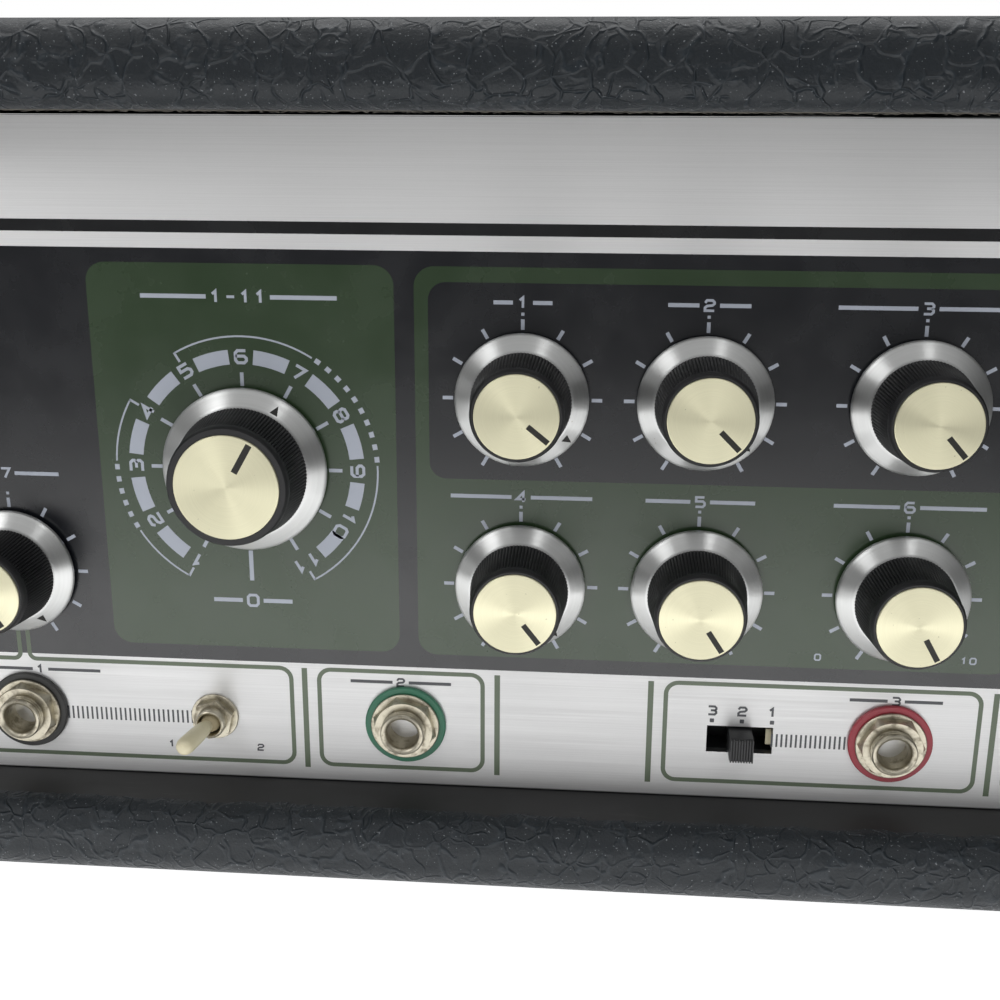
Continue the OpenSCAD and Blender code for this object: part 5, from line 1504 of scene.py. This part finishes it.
class Case:
    """Covered cabinet, lid, feet, handles, hinges and screws."""

    HINGE_SCREWS = (-21.0, 0.0, 21.0)
    HINGE_MIDDLE = 30 * MM
    HINGE_ROW = 7.5 * MM
    HEAD_OUT = 1.8 * MM
    PANEL_HEAD, HANDLE_HEAD = 1.7, 2.3
    FRONT_INSET = (12 * MM, 5 * MM)
    REAR_INSET = (8 * MM, 7.7 * MM)
    STRAP_END = 9 * MM

    def build(self, unit: Unit) -> None:
        """Finishes the case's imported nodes, and adds its fine pieces."""
        finish = unit.finish
        unit.adopt(finish.vinyl, "cabinet", "lid")
        unit.adopt(finish.rubber, "feet")
        unit.adopt(finish.strap, "handle_straps")
        unit.adopt(finish.chrome, "handle_caps")
        unit.adopt(finish.nickel, "hinge_leaves_fixed", "hinge_leaves_lid")
        unit.adopt(finish.steel, "cabinet_screws", "panel_screws")
        unit.adopt(finish.bare, "front_panel")
        self._frayed_edge(unit)
        self._hinge_screws(unit)
        self._strap_ribs(unit)
        self._crosses(unit)

    def _frayed_edge(self, unit: Unit) -> None:
        """Cut edge of the covering under the front of the lid: backing cloth with loose fibres."""
        low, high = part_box("lid")
        width = (high.x - low.x) / MM - 1.0
        count = 1100
        fibres = unit.trees.fibres.make("lid_cut_edge", Count=count, Pitch=width / count, Seed=7, Width=0.08,
                                        Length=1.0, Stray=0.35, Finish=unit.finish.fibre)
        core = box_mesh((-width / 2, -0.3, -0.08), (width / 2, 0.3, 0.08))
        strip = finish_mesh("strip", core, unit.finish.fibre)
        spot = ((low.x + high.x) / 2, low.y + 6.0 * MM, low.z - 0.05 * MM)
        place = Matrix.Translation(spot) @ TO_METRES
        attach(put(join([fibres, strip]), place), "lid_body")

    def _hinge_screws(self, unit: Unit) -> None:
        """Three countersunk screws in each hinge leaf."""
        for node, body, side in (("hinge_leaves_lid", "lid_body", -1), ("hinge_leaves_fixed", "case", 1)):
            low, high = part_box(node)
            y = (low.y + self.HINGE_ROW) if side < 0 else (high.y - self.HINGE_ROW)
            heads = []
            for centre in (low.x + self.HINGE_MIDDLE, high.x - self.HINGE_MIDDLE):
                for x in self.HINGE_SCREWS:
                    head = screw_head(unit, node + "_screws", 2.3)
                    turn = Matrix.Rotation(0.9 * x + centre * 40, 4, "Z")
                    spot = Matrix.Translation((centre + x * MM, y, low.z + 1.45 * MM))
                    heads.append(put(head, spot @ turn @ TO_METRES))
            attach(join(heads), body)

    def _strap_ribs(self, unit: Unit, half: float = 85.0, sag: float = 7.0, thick: float = 4.0) -> None:
        """Two raised ribs along each strap, on the strap's own arc."""
        low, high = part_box("handle_straps")
        radius = (half * half + sag * sag) / (2 * sag) + thick
        level = (low.z + high.z) / 2
        for side, name in ((1, "strap_ribs_right"), (-1, "strap_ribs_left")):
            outer = high.x / MM
            ribs = bmesh.new()
            for offset in (-9.0, 9.0):
                rings = []
                for i in range(41):
                    angle = math.asin((half - 6) / radius) * (i / 20 - 1)
                    ring = []
                    for k in range(8):
                        wide, up = 0.75 * math.cos(k * math.pi / 4), 0.9 * math.sin(k * math.pi / 4)
                        reach = radius + wide * 0.9
                        x = outer - radius + reach * math.cos(angle)
                        ring.append(ribs.verts.new((side * x, reach * math.sin(angle), offset + up)))
                    rings.append(ring)
                for a, b in zip(rings, rings[1:]):
                    for k in range(8):
                        ribs.faces.new((a[k], a[(k + 1) % 8], b[(k + 1) % 8], b[k]))
                ribs.faces.new(rings[0])
                ribs.faces.new(rings[-1])
            place = Matrix.Translation((0, 0, level)) @ TO_METRES
            thing = finish_mesh(name, outward(ribs), unit.finish.strap, 50)
            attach(put(thing, place), "case")

    def _crosses(self, unit: Unit) -> None:
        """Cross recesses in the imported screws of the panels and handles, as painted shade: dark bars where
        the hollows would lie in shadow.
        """
        marks = []
        front = unit.box("front_panel")
        low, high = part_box("front_panel")
        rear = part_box("rear_panel")
        spots = []
        forward = Matrix.Rotation(math.pi / 2, 4, "X")
        backward = Matrix.Rotation(-math.pi / 2, 4, "X")
        across, up = self.FRONT_INSET
        for x in (low.x + across, high.x - across):
            for z in (low.z + up, high.z - up):
                spots.append((Vector((x, low.y - self.HEAD_OUT, z)), forward, self.PANEL_HEAD))
        inner = rear[1].x + 0.3 * MM
        across, up = self.REAR_INSET
        for x in (-inner + across, inner - across):
            for z in (rear[0].z + up, rear[1].z - up):
                spots.append((Vector((x, rear[1].y + self.HEAD_OUT, z)), backward, self.PANEL_HEAD))
        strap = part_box("handle_straps")
        caps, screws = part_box("handle_caps"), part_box("cabinet_screws")
        for side in (-1, 1):
            for y in (strap[1].y + self.STRAP_END, strap[0].y - self.STRAP_END):
                spots.append((Vector((side * screws[1].x, y, (strap[0].z + strap[1].z) / 2)),
                              Matrix.Rotation(side * math.pi / 2, 4, "Y"), self.HANDLE_HEAD))
        for i, (spot, facing, size) in enumerate(spots):
            # Two dark bars per screw: painted shade of the cross recess, not a cut hollow.
            for a, b in ((size, size * 0.2), (size * 0.2, size)):
                block = box_mesh((-a * 0.62, -b * 0.62, -0.25), (a * 0.62, b * 0.62, 0.02))
                bar = finish_mesh("screw_cross_painted_shade", block, unit.finish.pointer, None)
                turn = Matrix.Rotation(0.7 * i, 4, "Z")
                marks.append(put(bar, Matrix.Translation(spot) @ facing @ turn @ TO_METRES))
        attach(join(marks), "case")
        LOG.info("panel is %.1f mm wide; caps reach %.1f mm", front[1].x - front[0].x, caps[1].x / MM)


class Deck:
    """Tape deck under the lid, and what lies round and under it."""

    HEAD_X = (75.0, 50.0, 20.0, -10.0, -40.0)
    COIL_TURNS = 18

    def build(self, unit: Unit) -> None:
        """Finishes the deck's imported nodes, and adds its fine pieces."""
        finish = unit.finish
        unit.adopt(finish.deck, "deck_plate")
        unit.adopt(finish.black, "tape_tank")
        unit.adopt(finish.clear, "tank_cover")
        unit.adopt(finish.tape, "tape_loop")
        unit.adopt(finish.head, "heads")
        unit.adopt(finish.steel, "tape_guides", "capstan", "pinch_arm")
        unit.adopt(finish.rubber, "pinch_roller", "belt")
        unit.adopt(finish.sheet, "motor", "chassis", "reverb_tank")
        unit.adopt(finish.brass, "motor_pulley")
        unit.adopt(finish.iron, "transformer")
        unit.adopt(finish.resin, "circuit_boards")
        unit.adopt(finish.rear, "rear_panel")
        unit.adopt(finish.black, "rear_fittings")
        unit.adopt(finish.sheet, "potentiometers", "mode_switch")
        self._head_faces(unit)
        self._deck_screws(unit)
        self._winding(unit)

    def _head_faces(self, unit: Unit) -> None:
        """Two pole pieces and a mounting screw on each head."""
        low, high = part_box("heads")
        top = high.z / MM
        face = high.y / MM
        pieces = []
        for x in self.HEAD_X:
            for z in (top - 8.6, top - 5.0):
                block = box_mesh((x - 1.4, face - 0.4, z - 0.7), (x + 1.4, face + 0.06, z + 0.7), 0.05)
                pieces.append(put(finish_mesh("head_poles", block, unit.finish.brass), TO_METRES))
            cup = revolve([(0, 0), (2.0, 0), (2.0, 1.1), (1.7, 1.4), (0, 1.4)], 32)
            spot = Matrix.Translation((x * MM, low.y + 5.5 * MM, high.z)) @ TO_METRES
            pieces.append(put(finish_mesh("cup", cup, unit.finish.steel), spot))
        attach(join(pieces), "case")

    def _deck_screws(self, unit: Unit) -> None:
        """Screws along the deck's edges and on the tank's cover."""
        low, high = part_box("deck_plate")
        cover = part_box("tank_cover")
        inset = 6 * MM
        deck_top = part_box("tape_tank")[0].z
        spots = [(x, y, deck_top) for x in (low.x + inset, high.x - inset)
                 for y in (low.y + inset, high.y - inset)]
        spots += [(x, y, cover[1].z) for x in (cover[0].x + 4 * MM, cover[1].x - 4 * MM)
                  for y in (cover[0].y + 8 * MM, cover[1].y - 8 * MM)]
        heads = []
        for i, spot in enumerate(spots):
            head = screw_head(unit, "deck_screws", 2.4)
            heads.append(put(head, Matrix.Translation(spot) @ Matrix.Rotation(i, 4, "Z") @ TO_METRES))
        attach(join(heads), "case")

    def _winding(self, unit: Unit) -> None:
        """Copper turns round the transformer's coil."""
        low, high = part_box("transformer")
        centre = (low + high) / 2
        half = Vector(((high.x - low.x) / MM / 2 - 8.0, (high.y - low.y) / MM / 2, 0))
        spot = Matrix.Translation((centre.x, centre.y, low.z)) @ TO_METRES
        turns = []
        for i in range(self.COIL_TURNS):
            ring = Print(9.2 + 1.5 * i, 10.2 + 1.5 * i)
            ring.band(round_box(-half.x - 0.35, -half.y - 0.35, half.x + 0.35, half.y + 0.35, 2.0, 4),
                      round_box(-half.x + 0.3, -half.y + 0.3, half.x - 0.3, half.y - 0.3, 1.5, 4))
            turns.append(put(finish_mesh("coil_turns", outward(ring.mesh), unit.finish.copper), spot))
        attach(join(turns), "case")


@dataclass(frozen=True)
class Softbox:
    """One soft light: where it stands, what it faces, its size and its power."""

    name: str
    place: tuple[float, float, float]
    target: tuple[float, float, float]
    size: tuple[float, float]
    power: float
    colour: Colour = (1.0, 1.0, 1.0)

    def build(self) -> None:
        """Adds the light."""
        light = bpy.data.lights.new(self.name, "AREA")
        light.shape = "RECTANGLE"
        light.size, light.size_y = self.size
        light.energy = self.power
        light.color = self.colour
        thing = bpy.data.objects.new(self.name, light)
        thing.location = self.place
        thing.rotation_euler = (Vector(self.target) - Vector(self.place)).to_track_quat("-Z", "Y").to_euler()
        bpy.context.scene.collection.objects.link(thing)


class Studio:
    """Floor, lights and the camera of the photograph's view."""

    LENS = 47.19
    SPOT = (78.1, -384.7, 167.5)
    YAW, PITCH, ROLL = 4.657, 16.179, 0.254
    TABLE_GLOW = 1.0
    POOL = ((0.0, 0.10, 0.0), 0.36, 0.84, 0.06)
    ROOM = (0.05, 0.8, 0.14, 0.8)
    LIGHTS = (
        Softbox("top", (0.0, 0.35, 1.3), (0.0, -0.02, 0.05), (1.6, 0.9), 9.0),
        Softbox("window", (-0.75, -0.95, 0.85), (0.0, -0.1, 0.1), (0.30, 0.55), 2.2),
        Softbox("left", (-1.3, -0.8, 0.12), (0.0, -0.1, 0.1), (0.5, 0.4), 0.45),
        Softbox("lamp", (0.45, -0.95, 1.05), (0.05, -0.1, 0.1), (0.14, 0.30), 0.6),
    )

    def build(self) -> None:
        """Adds the stage."""
        scene = bpy.context.scene
        scene.view_settings.view_transform = "Standard"
        scene.view_settings.look = "None"
        self._camera(scene)
        self._world(scene)
        self._floor()
        for light in self.LIGHTS:
            light.build()

    def _camera(self, scene: bpy.types.Scene) -> None:
        """Adds the camera, fitted to the photograph."""
        camera = bpy.data.cameras.new("camera")
        camera.lens = self.LENS
        camera.sensor_width = 36.0
        camera.clip_start = 0.01
        thing = bpy.data.objects.new("camera", camera)
        turn = (Matrix.Rotation(math.radians(self.YAW), 4, "Z")
                @ Matrix.Rotation(math.radians(90 - self.PITCH), 4, "X")
                @ Matrix.Rotation(math.radians(self.ROLL), 4, "Z"))
        thing.matrix_world = Matrix.Translation(Vector(self.SPOT) * MM) @ turn
        scene.collection.objects.link(thing)
        scene.camera = thing

    def _world(self, scene: bpy.types.Scene) -> None:
        """Pale room that is brighter above, and plain white behind the object."""
        world = bpy.data.worlds.new("room")
        world.use_nodes = True
        tree = world.node_tree
        background = tree.nodes["Background"]
        background.inputs["Color"].default_value = (1.0, 1.0, 1.0, 1.0)
        place = tree.nodes.new("ShaderNodeTexCoord")
        height = tree.nodes.new("ShaderNodeSeparateXYZ")
        tree.links.new(place.outputs["Generated"], height.inputs[0])
        shade = tree.nodes.new("ShaderNodeMapRange")
        tree.links.new(height.outputs[2], shade.inputs["Value"])
        for key, value in zip(("From Min", "From Max", "To Min", "To Max"), self.ROOM):
            shade.inputs[key].default_value = value
        ray = tree.nodes.new("ShaderNodeLightPath")
        pick = tree.nodes.new("ShaderNodeMix")
        pick.data_type = "FLOAT"
        tree.links.new(ray.outputs["Is Camera Ray"], pick.inputs[0])
        tree.links.new(shade.outputs[0], pick.inputs[2])
        pick.inputs[3].default_value = 1.0
        tree.links.new(pick.outputs[0], background.inputs["Strength"])
        scene.world = world

    def _floor(self) -> None:
        """White table, large enough for every view; what it lights and mirrors fades away from the object."""
        mesh = bmesh.new()
        bmesh.ops.create_grid(mesh, x_segments=8, y_segments=8, size=3.0)
        s = Shader("floor_table")
        flat = s.add("VectorMath", {0: s.place(centre=self.POOL[0])}, operation="LENGTH").outputs["Value"]
        pool = s.ramp(flat, self.POOL[1], self.POOL[2], 1.0, self.POOL[3])
        seen = s.math("MAXIMUM", pool, s.add("LightPath").outputs["Is Camera Ray"])
        s.set(Base_Color=s.blend(seen, (0.02, 0.02, 0.02), (0.9, 0.9, 0.9)), Roughness=0.8)
        s.set(Emission_Color=(1.0, 1.0, 1.0), Emission_Strength=s.math("MULTIPLY", seen, self.TABLE_GLOW))
        finish_mesh("floor", mesh, s.material, None)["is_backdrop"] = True


def main() -> None:
    """Dresses the unit and sets up its stage."""
    logging.basicConfig(level=logging.INFO)
    unit = Unit()
    Case().build(unit)
    FrontPrint(unit).build()
    for knob in KNOBS:
        knob.build(unit)
    Jacks().build(unit)
    Toggles().build(unit)
    Meter().build(unit)
    Deck().build(unit)
    Studio().build()


if __name__ == "__main__":
    main()
